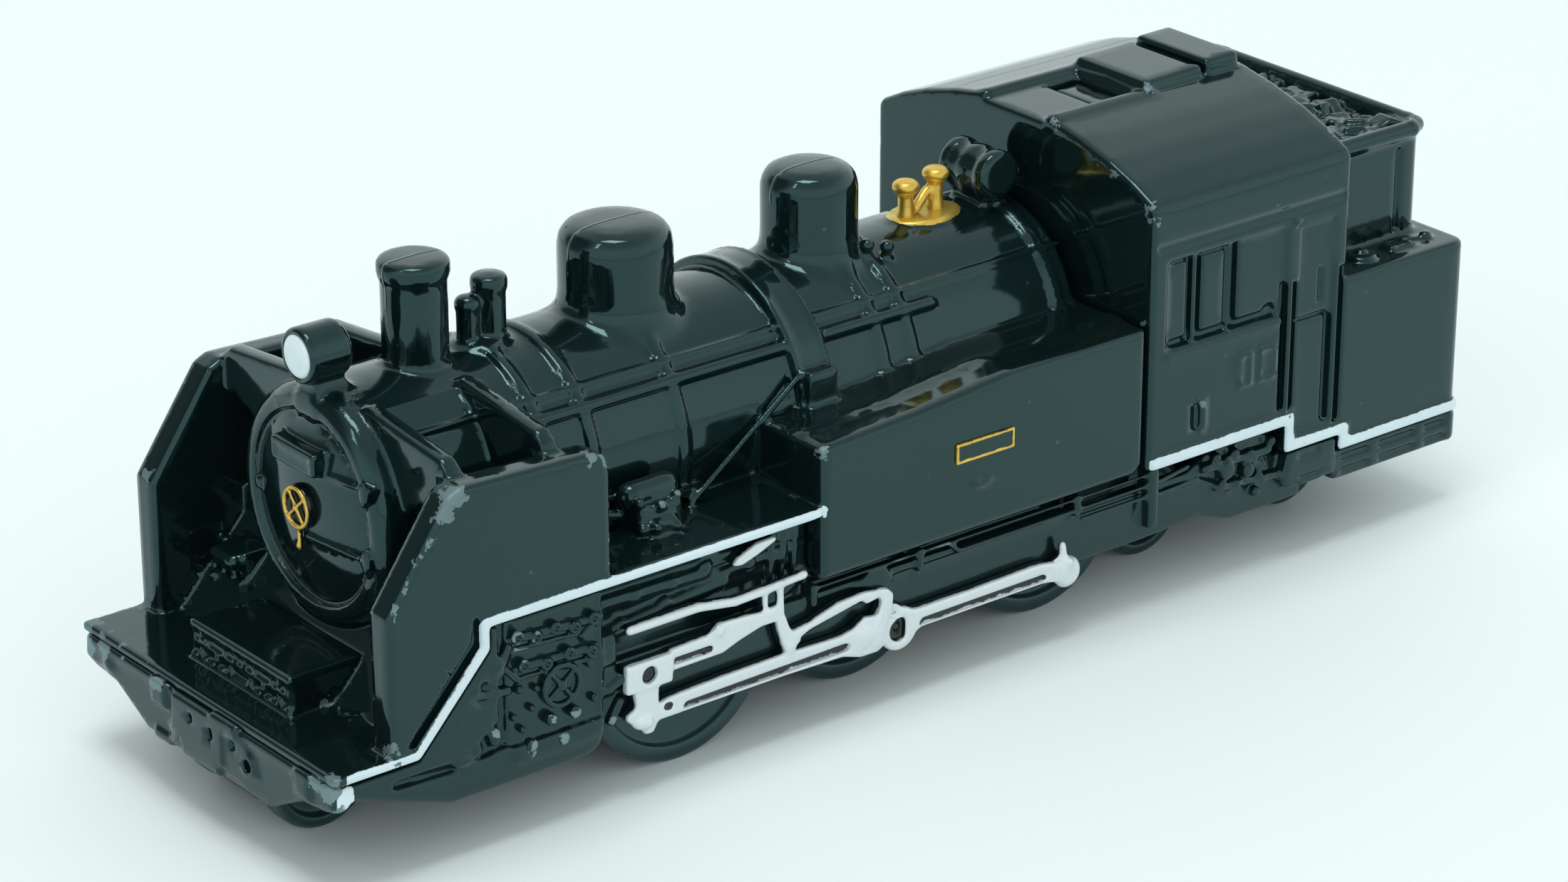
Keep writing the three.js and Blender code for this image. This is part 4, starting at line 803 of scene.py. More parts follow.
def underframe():
    F = Field((-0.9, 78.4), (0, 12.4), (0.8, 12.9), VOX, half=True)
    A, C = F.add, F.cut
    A(plateY([(0.7, 2.3), (0.7, 6.05), (9.4, 6.05), (9.6, 8.7), (52.4, 8.7), (52.7, 8.1), (63.1, 8.1), (63.1, 6.45), (67.4, 6.45), (67.4, 5.5), (76.8, 5.5), (76.8, 2.3)],
             -2.45, 2.45, 0.15), 0)
    beam = [(-11.3, 6.2), (-11.45, 4.9), (-10.4, 4.6), (-8.5, 4.4), (-5.6, 2.9), (5.6, 2.9), (8.5, 4.4), (10.4, 4.6), (11.45, 4.9), (11.3, 6.2)]
    A(plateX(beam, 0.0, 0.95, 0.25), 0.2)
    A(plateX([(-11.0, 6.25), (-11.0, 5.75), (11.0, 5.75), (11.0, 6.25)], -0.1, 0.6, 0.15), 0.15)
    skirt = [(0.25, 6.05), (5.2, 6.05), (9.55, 10.75), (9.55, 11.95), (16.45, 11.95), (16.45, 4.35)] + arc(15.2, 4.35, 1.2, 0, -90, 6) + [(7.06, 3.15), (1.3, 5.1), (0.4, 4.7)]
    A(plateY(skirt, 10.3, 11.38, 0.3), 0.2)
    A(box(8.2, 16.3, 2.0, 10.6, 4.2, 8.75, 0.2), 0.2)
    A(box(10.2, 16.4, 8.6, 10.6, 4.2, 11.6, 0.1), 0.1)
    # cylinder block relief
    A(box(10.55, 16.3, 10.8, 11.5, 4.05, 8.6, 0.25), 0.12)
    C(box(10.5, 16.3, 11.1, 13, 5.1, 11.8, 0.1), 0.06)
    C(box(9.95, 10.5, 10.85, 13, 5.2, 11.9, 0.08), 0.06)
    C(blob((9.05, 11.75, 8.5), (0.85, 0.75, 0.85)), 0.1)
    C(plateY([(3.55, 5.0), (3.7, 5.42), (7.0, 5.34), (8.6, 5.8), (9.7, 6.7), (10.1, 6.6), (10.1, 5.2), (8.6, 5.0), (7.0, 4.85)], 10.95, 13, 0.02), 0.08)
    A(rod((15.0, 11.3, 9.9), (16.2, 11.3, 10.7), 0.2), 0.1)
    A(rod((10.6, 11.2, 10.6), (10.1, 11.15, 9.2), 0.24), 0.08)
    A(blob((9.9, 11.15, 9.8), (0.5, 0.42, 0.55)), 0.06)
    A(blob((8.6, 11.1, 8.85), (0.4, 0.42, 0.4)), 0.06)
    A(rod((8.7, 11.15, 8.45), (10.6, 11.15, 8.2), 0.24), 0.06)
    A(blob((9.5, 11.1, 7.75), (0.35, 0.35, 0.35)), 0.06)
    A(blob((9.65, 11.2, 6.0), (0.42, 0.42, 0.52)), 0.05)
    A(blob((7.8, 11.1, 5.3), (0.8, 0.42, 0.38)), 0.05)
    A(blob((8.6, 11.05, 5.55), (0.4, 0.42, 0.4)), 0.05)
    A(rod((5.0, 10.9, 5.2), (7.2, 10.98, 5.2), 0.16), 0.05)
    A(box(16.2, 17.5, 9.9, 10.95, 5.9, 9.2, 0.15), 0.12)
    A(box(16.3, 17.35, 9.9, 11.15, 7.6, 8.5, 0.15), 0.1)
    A(rod((17.0, 10.9, 4.4), (17.6, 10.9, 5.4), 0.28), 0.12)
    A(rod((16.8, 11.0, 6.3), (17.7, 11.0, 6.7), 0.3), 0.12)
    # panels behind the rods
    panel = [(16.4, 4.3), (17.2, 4.0), (53.0, 3.9), (57.8, 4.1), (60.2, 3.3), (65.6, 3.3), (65.6, 6.4), (63.2, 6.4), (62.8, 7.95), (58.4, 7.95), (56.8, 7.05), (47.9, 7.05), (46.6, 7.45), (16.4, 7.45)]
    A(plateY(panel, 9.8, 10.65, 0.15), 0.1)
    A(plateY([(16.4, 7.2), (16.4, 12.05), (30.3, 12.05), (30.3, 7.2)], 9.8, 10.15, 0.08), 0.05)
    for a, b, r in (((16.6, 8.9), (24.3, 9.75), 0.42), ((16.6, 10.7), (23.6, 10.55), 0.38), ((23.4, 10.9), (29.6, 11.3), 0.3), ((24.2, 10.2), (29.8, 10.45), 0.3),
                    ((16.6, 11.6), (30.2, 11.6), 0.25), ((28.6, 8.0), (30.2, 8.7), 0.3)):
        A(rod((a[0], 10.2, a[1]), (b[0], 10.2, b[1]), r), 0.15)
    for s, h in ((19.0, 10.6), (21.4, 10.6), (23.5, 10.9), (24.6, 9.8), (26.3, 10.3), (28.3, 10.2), (29.2, 11.1), (18.1, 9.2), (20.9, 9.6), (26.9, 11.3)):
        A(blob((s, 10.35, h), (0.42, 0.34, 0.42)), 0.12)
    for s in (27.6, 28.35, 29.1):
        A(rod((s, 10.4, 8.6), (s + 0.25, 10.4, 11.6), 0.2), 0.1)
    A(plateY([(32.6, 7.2), (34.0, 7.75), (35.1, 7.7), (35.6, 6.9), (34.9, 6.2), (33.6, 6.9)], 10.3, 11.0, 0.12), 0.12)
    A(box(30.0, 53.4, 8.9, 9.7, 7.0, 8.34, 0.05), 0.05)
    # pipes under the tank
    A(rod((30.0, 10.95, 7.93), (53.6, 10.95, 7.93), 0.15), 0.03)
    A(rod((39.9, 11.05, 7.33), (53.6, 11.05, 7.33), 0.16), 0.03)
    A(rod((39.3, 11.0, 7.9), (39.9, 11.05, 7.33), 0.16), 0.03)
    A(rod((48.6, 11.05, 6.72), (53.6, 11.05, 6.72), 0.17), 0.06)
    A(plateY([(30.0, 7.1), (30.0, 7.55), (47.8, 7.5), (47.8, 7.1)], 10.3, 10.85, 0.06), 0.06)
    for s in (30.1, 37.3, 48.35):
        A(box(s - 0.22, s + 0.22, 10.0, 11.12, 6.9, 8.2, 0.08), 0.05)
    A(box(53.3, 54.05, 10.2, 11.42, 4.8, 8.4, 0.18), 0.1)
    A(rod((53.9, 11.0, 7.3), (56.6, 10.8, 7.55), 0.2), 0.08)
    A(rod((54.0, 11.0, 6.6), (57.4, 10.7, 6.5), 0.17), 0.08)
    A(rod((57.4, 10.7, 6.5), (59.9, 10.7, 5.2), 0.17), 0.08)
    # injector cluster
    A(rod((57.8, 10.9, 7.1), (62.6, 10.9, 7.0), 0.3), 0.12)
    A(drum("Y", 0.55, 10.4, 11.4, 59.3, 6.7, 0.12), 0.12)
    A(drum("Y", 0.45, 10.4, 11.4, 60.9, 6.3, 0.12), 0.12)
    A(rod((58.8, 10.9, 5.7), (63.4, 10.9, 5.3), 0.26), 0.12)
    A(rod((59.4, 11.0, 7.4), (59.1, 11.0, 5.6), 0.2), 0.1)
    A(rod((61.2, 11.0, 7.3), (62.2, 11.0, 5.2), 0.2), 0.1)
    for s, h in ((58.6, 7.6), (60.2, 5.6), (62.1, 6.3), (61.7, 4.7), (62.8, 7.5), (60.0, 7.5)):
        A(blob((s, 10.95, h), (0.33, 0.33, 0.33)), 0.1)
    # stretchers
    for s0, s1, y1, h0, h1 in ((28.58, 29.45, 10.2, 4.2, 7.2), (41.6, 42.7, 10.2, 4.2, 7.2), (61.7, 65.4, 10.2, 3.4, 6.4), (73.3, 76.9, 10.5, 3.9, 5.5)):
        A(box(s0, s1, -y1, y1, h0, h1, 0.1), 0.15)
    # step blocks and rear skirt
    A(plateY([(63.75, 6.6), (63.3, 4.9), (63.9, 4.35), (67.5, 4.4), (67.5, 6.6)], 10.0, 11.5, 0.25), 0.1)
    C(plateY([(64.5, 6.05), (66.1, 6.05), (66.1, 6.35), (64.5, 6.35)], 11.3, 13, 0.02), 0.06)
    C(box(64.6, 66.3, 11.3, 13, 4.75, 4.95, 0.03), 0.06)
    A(box(64.5, 66.4, 10.8, 11.62, 4.45, 4.7, 0.08), 0.05)
    A(plateY([(67.35, 3.95), (67.35, 5.72), (76.9, 5.72), (76.9, 3.88), (68.0, 3.88)], 10.2, 11.45, 0.3), 0.1)
    for s0, s1 in ((67.9, 70.2), (70.95, 73.9), (74.6, 76.3)):
        C(box(s0, s1, 11.18, 13, 5.0, 5.38, 0.06), 0.08)
        C(box(s0, s1, 11.22, 13, 4.2, 4.55, 0.06), 0.08)
    A(plateZ([(76.0, -11.0)] + arc(76.5, -10.5, 1.0, 280, 360, 5) + arc(76.5, 10.5, 1.0, 0, 80, 5) + [(76.0, 11.0)], 3.88, 5.7, 0.25), 0.1)
    A(box(76.8, 77.62, -2.0, 2.0, 3.4, 5.0, 0.2), 0.15)
    for s, r, _ in AXLES.values():
        C(box(s - 0.85, s + 0.85, -2.75, 2.75, 1.0, r, 0.05), 0.02)
        C(drum("Y", 0.85, -2.75, 2.75, s, r, 0.02), 0.02)
    # buffer beam fittings, which are not alike on both sides
    F.whole()
    A(box(-0.33, 0.5, -2.75, 2.0, 3.7, 6.2, 0.15), 0.12)
    A(box(-0.3, 0.5, -1.9, 1.6, 3.05, 4.6, 0.15), 0.2)
    A(box(-0.2, 0.5, -4.7, -3.0, 2.9, 3.5, 0.12), 0.1)
    A(box(-0.33, 0.4, -4.7, -3.2, 4.9, 6.35, 0.2), 0.15)
    A(box(-0.3, 0.4, 0.8, 3.2, 5.6, 6.45, 0.15), 0.15)
    A(box(-0.22, 0.4, 8.2, 9.6, 4.8, 6.3, 0.15), 0.15)
    A(plateX([(-2.2, 5.3), (-3.3, 4.1), (-2.9, 3.2), (-2.0, 3.2)], -0.25, 0.4, 0.12), 0.12)
    A(plateX([(1.8, 6.0), (3.4, 6.0), (4.6, 5.2), (4.9, 4.3), (3.6, 3.4), (1.8, 3.4)], -0.18, 0.4, 0.12), 0.15)
    C(drum("X", 0.36, -2, 0.3, 4.05, 4.65, 0.05), 0.12)
    A(ring("X", 0.43, 0.13, (4.05, 4.65), -0.17), 0.06)
    C(box(-2, 0.15, -1.15, -0.8, 5.15, 5.65, 0.06), 0.08)
    C(box(-2, 0.15, 0.65, 1.05, 4.9, 5.5, 0.06), 0.08)
    C(box(-2, 0.2, 2.5, 2.9, 5.0, 5.5, 0.06), 0.08)
    A(blob((-0.2, 0.0, 4.5), (0.16, 0.3, 0.4)), 0.08)
    for y in (-9.0, 9.0):
        A(blob((-0.1, y, 5.3), (0.15, 0.5, 0.4)), 0.15)
    F.soften(0.09)

    def marks(p):
        s, y, h = p.T
        white = np.maximum.reduce([np.abs(s - 0.75) - 0.5, np.abs(h - 5.5) - 0.55, 11.2 - np.abs(y)])
        chip = blotches(p, [
            (12.7, 11.7, 5.75, 0.32), (14.5, 11.7, 5.85, 0.36), (11.75, 11.7, 4.55, 0.36), (13.6, 11.7, 4.65, 0.3), (14.2, 11.7, 6.6, 0.2),
            (-0.1, 11.0, 5.9, 0.7), (0.0, 10.0, 6.1, 0.5), (0.0, -11.0, 5.6, 0.7), (-0.1, -9.4, 6.0, 0.55), (-0.1, -7.6, 6.15, 0.3), (-0.35, -4.0, 6.2, 0.45), (-0.3, 2.5, 6.4, 0.2),
            (9.65, 11.6, 6.25, 0.22), (9.0, 11.45, 5.5, 0.14), (7.0, 11.4, 5.0, 0.12), (0.4, 11.4, 4.9, 0.3), (60.9, 11.4, 5.1, 0.2), (16.6, 11.3, 6.9, 0.25), (17.0, 11.1, 4.6, 0.2)])
        return {"white": white, "chip": np.maximum(chip, -0.9)}
    return piece("underframe_body", F, BODY, FRAME, marks, ADAPT, ["underframe"])


def cylinder_relief(side):
    """Valve cover, bolts and pipe runs cast on the face of the cylinder block."""
    F = Field((9.7, 17.0), (10.85, 11.75), (4.0, 12.0), 0.065)
    A, C = F.add, F.cut
    A(drum("Y", 1.22, 11.0, 11.45, 13.75, 7.6, 0.06), 0)
    C(drum("Y", 0.94, 11.16, 13, 13.75, 7.6, 0.03), 0.03)
    for a in (38, 128):
        c, d = 0.95 * math.cos(math.radians(a)), 0.95 * math.sin(math.radians(a))
        A(rod((13.75 - c, 11.28, 7.6 - d), (13.75 + c, 11.28, 7.6 + d), 0.14), 0.03)
    A(blob((13.75, 11.35, 7.6), (0.32, 0.24, 0.32)), 0.03)
    for s, h in ((13.0, 5.98), (14.45, 5.95), (11.76, 4.94), (13.71, 4.71)):
        A(drum("Y", 0.34, 11.0, 11.62, s, h, 0.1), 0.03)
    for s, h, r in ((15.7, 6.3, 0.22), (11.9, 6.9, 0.2), (15.6, 4.95, 0.2), (11.2, 8.1, 0.24), (12.2, 7.9, 0.2), (15.5, 8.3, 0.26), (11.3, 5.9, 0.2), (10.8, 6.7, 0.2)):
        A(blob((s, 11.2, h), (r, 0.34, r * 1.1)), 0.04)
    for h0, h1, s0, s1, n in ((10.9, 10.55, 10.8, 16.1, 5), (9.25, 9.05, 11.2, 15.9, 4)):
        A(rod((s0, 11.12, h0), (s1, 11.12, h1), 0.26), 0.05)
        A(rod((s0 + 0.3, 11.1, h0 - 0.62), (s1, 11.1, h1 - 0.6), 0.15), 0.05)
        for k in range(n):
            f = 0.05 + 0.88 * k / (n - 1)
            s, h = s0 + (s1 - s0) * f, h0 + (h1 - h0) * f + 0.12 * (-1) ** k
            A(drum("Y", 0.36, 10.9, 11.58, s, h, 0.12), 0.04)
            C(drum("Y", 0.14, 11.4, 13, s, h, 0.03), 0.03)
    A(rod((14.9, 11.1, 10.0), (16.1, 11.1, 10.5), 0.2), 0.06)
    A(rod((10.3, 11.1, 9.6), (11.2, 11.1, 8.6), 0.22), 0.06)
    F.soften(0.05)
    if side < 0:
        F.axes[1] = -F.axes[1][::-1]
        F.D = np.ascontiguousarray(F.D[:, ::-1])

    def marks(p):
        a = np.abs(p[:, 1])
        studs = np.minimum.reduce([np.hypot(p[:, 0] - s, p[:, 2] - h) for s, h in ((13.0, 5.98), (14.45, 5.95), (11.76, 4.94), (13.71, 4.71))]) - 0.30
        return {"white": np.full(len(p), 9.0), "chip": np.maximum(np.maximum(studs, 11.4 - a), -0.5) + 0.05}
    piece("cylinder_relief_" + ("left" if side > 0 else "right"), F, BODY, FRAME, marks, 0.0)


def number_plate(side):
    """Blank number plate with a thin gilded rim."""
    F = Field((39.0, 43.5), (11.15, 11.72), (12.3, 14.0), 0.05)
    A = F.add
    A(box(39.25, 43.2, 11.25, 11.53, 12.62, 13.68, 0.05), 0)
    for h in (12.66, 13.64):
        A(rod((39.3, 11.52, h), (43.15, 11.52, h), 0.09), 0.03)
    for s in (39.3, 43.15):
        A(rod((s, 11.52, 12.66), (s, 11.52, 13.64), 0.09), 0.03)
    F.soften(0.04)
    if side < 0:
        F.axes[1] = -F.axes[1][::-1]
        F.D = np.ascontiguousarray(F.D[:, ::-1])

    def marks(p):
        s, y, h = p.T
        edge = np.minimum.reduce([np.abs(s - 39.3), np.abs(s - 43.15), np.abs(h - 12.66), np.abs(h - 13.64)]) - 0.085
        far = np.full(len(p), 9.0)
        return {"white": far, "gold": np.maximum(edge, 11.42 - np.abs(y)), "chip": far, "seam": far * 0, "rough": far * 0}
    piece("number_plate_" + ("left" if side > 0 else "right"), F, BODY, CASTING, marks, 0.0)


def keeper():
    F = Field((1.2, 74.4), (0, 3.0), (0.9, 5.6), 0.13, half=True)
    F.add(plateZ([(1.6, -2.0), (2.0, -2.4), (73.6, -2.4), (74.0, -2.0), (74.0, 2.0), (73.6, 2.4), (2.0, 2.4), (1.6, 2.0)], 1.3, 2.2, 0.12), 0)
    for s, r, _ in AXLES.values():
        if r > 4:
            F.add(box(s - 0.65, s + 0.65, -2.2, 2.2, 2.0, r - 0.8, 0.1), 0.15)
    for s in (12.4, 63.2):
        F.cut(drum("Z", 0.8, 0.5, 3.5, s, 0, 0.02), 0.05)
        F.cut(drum("Z", 1.5, 0.0, 1.75, s, 0, 0.02), 0.05)
    for s in (30.0, 42.0, 56.0):
        F.cut(box(s - 3.0, s + 3.0, -1.5, 1.5, 1.0, 1.42, 0.05), 0.05)
    F.whole().soften(0.1)
    return piece("keeper_body", F, BODY, FRAME, lambda p: {"white": np.full(len(p), 9.0), "chip": np.full(len(p), 1.2)}, 0.05, ["keeper_plate"])


def rod_gear(side):
    v = 0.075
    F = Field((16.9, 49.4), (10.2, 11.95), (2.5, 12.6), v)
    A, C = F.add, F.cut
    y0, y1 = 10.6, 11.42

    def flat(pts, top=y1, r=0.16, k=0.12):
        A(plateY(pts, y0, top, r), k)
    flat([(17.6, 5.85), (17.75, 5.7), (20.65, 5.7), (20.72, 7.25), (20.6, 7.4), (17.65, 7.4)], y1 + 0.12)
    flat([(18.15, 6.0), (18.3, 4.9), (17.7, 4.55), (17.75, 4.2), (18.55, 3.7), (18.9, 3.15), (19.45, 3.15), (19.8, 3.8), (19.85, 6.0)], y1 + 0.02)
    A(blob((18.7, 11.35, 3.95), (0.7, 0.3, 0.45), 0.4), 0.15)
    flat([(19.5, 3.7), (19.8, 4.75), (20.5, 4.9), (24.0, 5.02), (28.0, 5.05), (31.7, 4.92), (32.6, 5.1), (33.3, 5.55), (34.2, 5.4), (34.8, 4.6), (34.85, 3.6), (34.2, 3.2), (33.0, 3.22), (31.8, 3.6), (28, 3.68)])
    C(plateY([(21.35, 3.98), (21.5, 4.22), (32.0, 4.33), (32.3, 4.17), (32.2, 4.0), (31.9, 3.97)], y1 - 0.3, 13, 0.02), 0.06)
    C(blob((20.35, 11.5, 4.4), (0.28, 0.2, 0.22)), 0.05)
    flat([(20.5, 7.5), (23.0, 7.6), (23.6, 8.05), (25.6, 7.95), (26.4, 7.85), (27.5, 7.95), (27.7, 7.3), (27.4, 6.95), (26.4, 6.95), (25.0, 6.6), (23.9, 6.22), (20.5, 6.2)])
    A(blob((23.6, 11.4, 7.6), (0.42, 0.22, 0.38)), 0.1)
    C(plateY([(20.8, 6.6), (20.8, 6.88), (23.1, 6.88), (23.25, 6.74), (23.1, 6.6)], y1 - 0.3, 13, 0.02), 0.06)
    # combination lever: two legs up to the valve rod and one down to the main rod
    A(rod((26.75, 11.1, 7.4), (26.75, 11.1, 8.75), 0.24), 0.08)
    A(rod((27.75, 11.12, 7.4), (27.7, 11.12, 8.8), 0.28), 0.08)
    flat([(27.3, 7.3), (28.0, 7.3), (28.3, 6.5), (28.9, 5.5), (28.6, 4.9), (28.0, 4.9), (27.7, 5.6), (27.4, 6.6)])
    A(blob((28.25, 11.4, 5.3), (0.38, 0.16, 0.5)), 0.1)
    # valve rod
    for a, b, r in (((18.1, 9.2), (22.4, 9.22), 0.31), ((22.4, 9.22), (24.8, 8.85), 0.3), ((24.8, 8.85), (27.0, 8.92), 0.3), ((27.0, 8.92), (29.3, 9.05), 0.27)):
        A(rod((a[0], 11.12, a[1]), (b[0], 11.12, b[1]), r), 0.06)
        flat([(a[0], a[1] - r + 0.03), (a[0], a[1] + r - 0.03), (b[0], b[1] + r - 0.03), (b[0], b[1] - r + 0.03)], 11.2, 0.05)
    A(blob((27.6, 11.3, 9.05), (0.45, 0.2, 0.3)), 0.1)
    A(blob((29.2, 11.2, 9.12), (0.32, 0.25, 0.28)), 0.1)
    # eccentric rod with its slot, and the return crank
    flat([(28.2, 6.15), (29.8, 6.38), (31.5, 6.9), (33.2, 7.0), (34.2, 6.85), (34.3, 6.3), (33.3, 6.15), (31.8, 6.0), (30.0, 5.55), (28.3, 5.2)])
    C(plateY([(29.2, 5.35), (29.0, 5.6), (29.6, 5.85), (33.0, 6.45), (33.3, 6.3), (33.0, 6.0), (31.2, 5.6), (30.0, 5.3)], y1 - 0.35, 13, 0.02), 0.08)
    flat([(34.15, 6.95), (34.8, 6.8), (35.2, 6.4), (35.15, 5.8), (34.7, 4.6), (34.4, 3.6), (33.6, 3.5), (33.9, 5.0), (34.3, 6.0)], y1 + 0.1)
    A(blob((33.3, 11.35, 4.4), (0.9, 0.25, 0.75)), 0.15)
    C(blob((33.55, 11.7, 4.55), (0.14, 0.12, 0.14)), 0.04)
    C(blob((33.8, 11.7, 4.1), (0.14, 0.12, 0.14)), 0.04)
    # ring, coupling rod and rear boss
    A(drum("Y", 1.28, y0, y1, 35.68, 4.12, 0.15), 0.1)
    A(drum("Y", 0.62, y0, y1, 35.25, 5.1, 0.15), 0.15)
    C(drum("Y", 0.62, y1 - 0.42, 13, 35.65, 4.1, 0.05), 0.06)
    A(blob((35.6, 11.05, 4.2), (0.3, 0.18, 0.3)), 0.05)
    C(drum("Y", 0.3, y1 - 0.2, 13, 35.28, 5.2, 0.05), 0.05)
    flat([(36.0, 5.25), (36.6, 5.05), (37.2, 5.0), (41, 5.0), (44.8, 5.08), (45.6, 5.05), (46.4, 4.9), (47.0, 4.6), (47.0, 3.5), (46.0, 3.72), (41, 3.72), (37.2, 3.72), (36.6, 3.6), (36.0, 3.3)])
    C(plateY([(37.05, 3.98), (37.2, 4.26), (45.7, 4.3), (45.85, 4.12), (45.7, 3.97)], y1 - 0.3, 13, 0.02), 0.06)
    A(drum("Y", 0.95, y0, y1 + 0.1, 47.55, 3.95, 0.3), 0.2)
    A(drum("Y", 0.75, y0, y1 + 0.08, 47.1, 4.4, 0.3), 0.2)
    A(rod((47.25, 11.15, 4.3), (47.15, 11.15, 5.65), 0.36, 0.26), 0.15)
    A(blob((47.45, 11.45, 4.65), (0.34, 0.22, 0.34)), 0.1)
    C(drum("Y", 0.42, y1 - 0.3, 13, 19.15, 6.52, 0.05), 0.06)
    # curved link end below the running board
    A(plateY([(24.6, 10.75), (25.0, 11.25), (26.2, 11.72), (27.4, 11.78), (27.75, 11.55), (27.2, 11.3), (26.3, 10.95), (25.3, 10.65)], 10.35, 11.25, 0.14), 0.1)
    F.D += F4(0.045)
    F.soften(0.075)
    if side < 0:
        F.axes[1] = -F.axes[1][::-1]
        F.D = np.ascontiguousarray(F.D[:, ::-1])

    def marks(p):
        depth = 11.15 - np.abs(p[:, 1])
        depth = np.where(p[:, 2] > 9.6, depth - 0.16, depth)
        holes = np.minimum.reduce([np.hypot(p[:, 0] - 35.65, p[:, 2] - 4.1) - 0.55, np.hypot(p[:, 0] - 19.15, p[:, 2] - 6.52) - 0.36])
        depth = np.maximum(depth, np.where(np.abs(p[:, 1]) < 11.22, 0.12 - np.maximum(holes, -0.5) * 1.0, -1))
        for path, w in (([(21.5, 4.1), (28.0, 4.18), (32.1, 4.17)], 0.15), ([(20.85, 6.74), (23.1, 6.74)], 0.16), ([(37.15, 4.1), (45.75, 4.14)], 0.15),
                        ([(20.3, 4.4), (20.4, 4.4)], 0.22), ([(29.3, 5.55), (31.6, 6.05), (33.1, 6.25)], 0.16)):
            depth = np.maximum(depth, (w - near_path(p, path)) * 1.2)
        return {"bare": depth}
    name = "rods_left" if side > 0 else "rods_right"
    return piece(name, F, BODY, RODS, marks, 0.0, ["rod_gear_left" if side > 0 else "rod_gear_right"])


def wheelset(name):
    """Two turned wheels with a rounded tread, recessed web and hub; the axle keeps its CAD solid."""
    s, r, face = AXLES[name]
    small = r < 4
    prof = []
    y0 = face - 1.35
    rim, hub = r - (0.62 if small else 0.85), (1.0 if small else 1.45)
    prof += [(0.80, y0), (hub, y0), (hub + 0.1, y0 + 0.12), (rim - 0.1, y0 + 0.12), (rim, y0), (r - 0.2, y0), (r - 0.06, y0 + 0.06), (r, y0 + 0.2)]
    prof += [(r, face - 0.28), (r - 0.05, face - 0.12), (r - 0.16, face - 0.03), (r - 0.3, face), (rim + 0.1, face), (rim, face - 0.04), (rim - 0.08, face - 0.14), (rim - 0.16, face - 0.30)]
    prof += [(rim - 0.28, face - 0.36), (hub + 0.5, face - 0.34), (hub + 0.2, face - 0.3), (hub + 0.06, face - 0.16), (hub - 0.06, face - 0.03), (hub - 0.2, face), (0.95, face), (0.82, face - 0.08), (0.80, face - 0.2)]
    n = 64 if small else 96
    for sd in (1, -1):
        verts, faces, tread = [], [], []
        for i in range(n):
            t = 2 * math.pi * i / n
            for rad, y in prof:
                verts.append(((FRONT_X - s + rad * math.cos(t)) / 1000, sd * y / 1000, (r + rad * math.sin(t)) / 1000))
                tread.append(r - 0.18 - rad)
        m = len(prof)
        for i in range(n):
            for j in range(m):
                a, b = i * m + j, i * m + (j + 1) % m
                c, d = ((i + 1) % n) * m + (j + 1) % m, ((i + 1) % n) * m + j
                faces.append((a, b, c, d) if sd > 0 else (d, c, b, a))
        side = "left" if sd > 0 else "right"
        me = bpy.data.meshes.new(f"wheel_{name}_{side}_turned")
        me.from_pydata(verts, [], faces)
        me.polygons.foreach_set("use_smooth", np.ones(len(faces), bool))
        at = me.attributes.new("tread", "FLOAT", "POINT")
        at.data.foreach_set("value", np.array(tread, F4))
        o = bpy.data.objects.new(me.name, me)
        bpy.context.scene.collection.objects.link(o)
        me.materials.append(WHEELS)
        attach(o, "wheelset_" + name)
        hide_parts(f"wheel_{name}_{side}")


def small_parts():
    v = 0.05
    # spoked handwheel with its lever, gilded in front
    F = Field((4.4, 7.2), (-1.6, 1.6), (12.6, 17.0), v)
    F.add(drum("X", 1.2, 5.78, 6.3, 0.2, 15.58, 0.12), 0)
    F.cut(drum("X", 0.88, 5.0, 5.94, 0.2, 15.58, 0.04), 0.04)
    F.add(ring("X", 1.04, 0.11, (0.2, 15.58), 5.76), 0.04)
    for a in (42, 128):
        t = math.radians(a)
        F.add(rod((5.8, 0.2 + math.cos(t), 15.58 + math.sin(t)), (5.8, 0.2 - math.cos(t), 15.58 - math.sin(t)), 0.11), 0.03)
    F.add(blob((5.78, 0.2, 15.58), (0.18, 0.2, 0.2)), 0.04)
    F.add(rod((5.9, 0.3, 14.4), (5.95, 0.2, 13.4), 0.15), 0.06)
    F.add(blob((5.93, 0.2, 13.5), (0.2, 0.18, 0.24)), 0.05)
    F.soften(0.05)
    piece("door_handwheel", F, BODY, GILT, lambda p: {"bare": (p[:, 0] - 5.78) * 3 + np.where(p[:, 2] < 14.25, -0.3, 0.0)}, 0.0)
    # safety valves
    F = Field((44.3, 48.6), (-1.5, 1.5), (20.9, 24.6), v)
    for s, top in ((45.35, 23.75), (47.45, 24.05)):
        F.add(turned("Z", [(0, 21.0), (0.62, 21.0), (0.5, 21.6), (0.42, 22.2), (0.42, top - 0.9), (0.6, top - 0.72), (0.74, top - 0.5), (0.74, top - 0.28), (0.55, top - 0.08), (0, top)], s, 0), 0.1)
    F.add(rod((46.0, 0.1, 22.0), (46.9, -0.1, 22.7), 0.3), 0.3)
    F.soften(0.06)
    piece("safety_valves", F, BODY, GILT, lambda p: {"bare": np.full(len(p), -0.6)}, 0.0)
    # headlamp glass
    F = Field((5.8, 7.0), (-1.5, 1.5), (22.0, 25.0), v)
    F.add(turned("X", [(0, 6.1), (0.6, 6.13), (1.0, 6.22), (1.13, 6.34), (1.13, 6.6), (0, 6.6)], 0, 23.45), 0)
    F.soften(0.04)
    piece("headlamp_lens", F, BODY, LENS, None, 0.0)


boiler_casting()
cab_casting()
underframe()
cylinder_relief(1)
cylinder_relief(-1)
number_plate(1)
number_plate(-1)
keeper()
rod_gear(1)
rod_gear(-1)
for wheel_name in AXLES:
    wheelset(wheel_name)
small_parts()

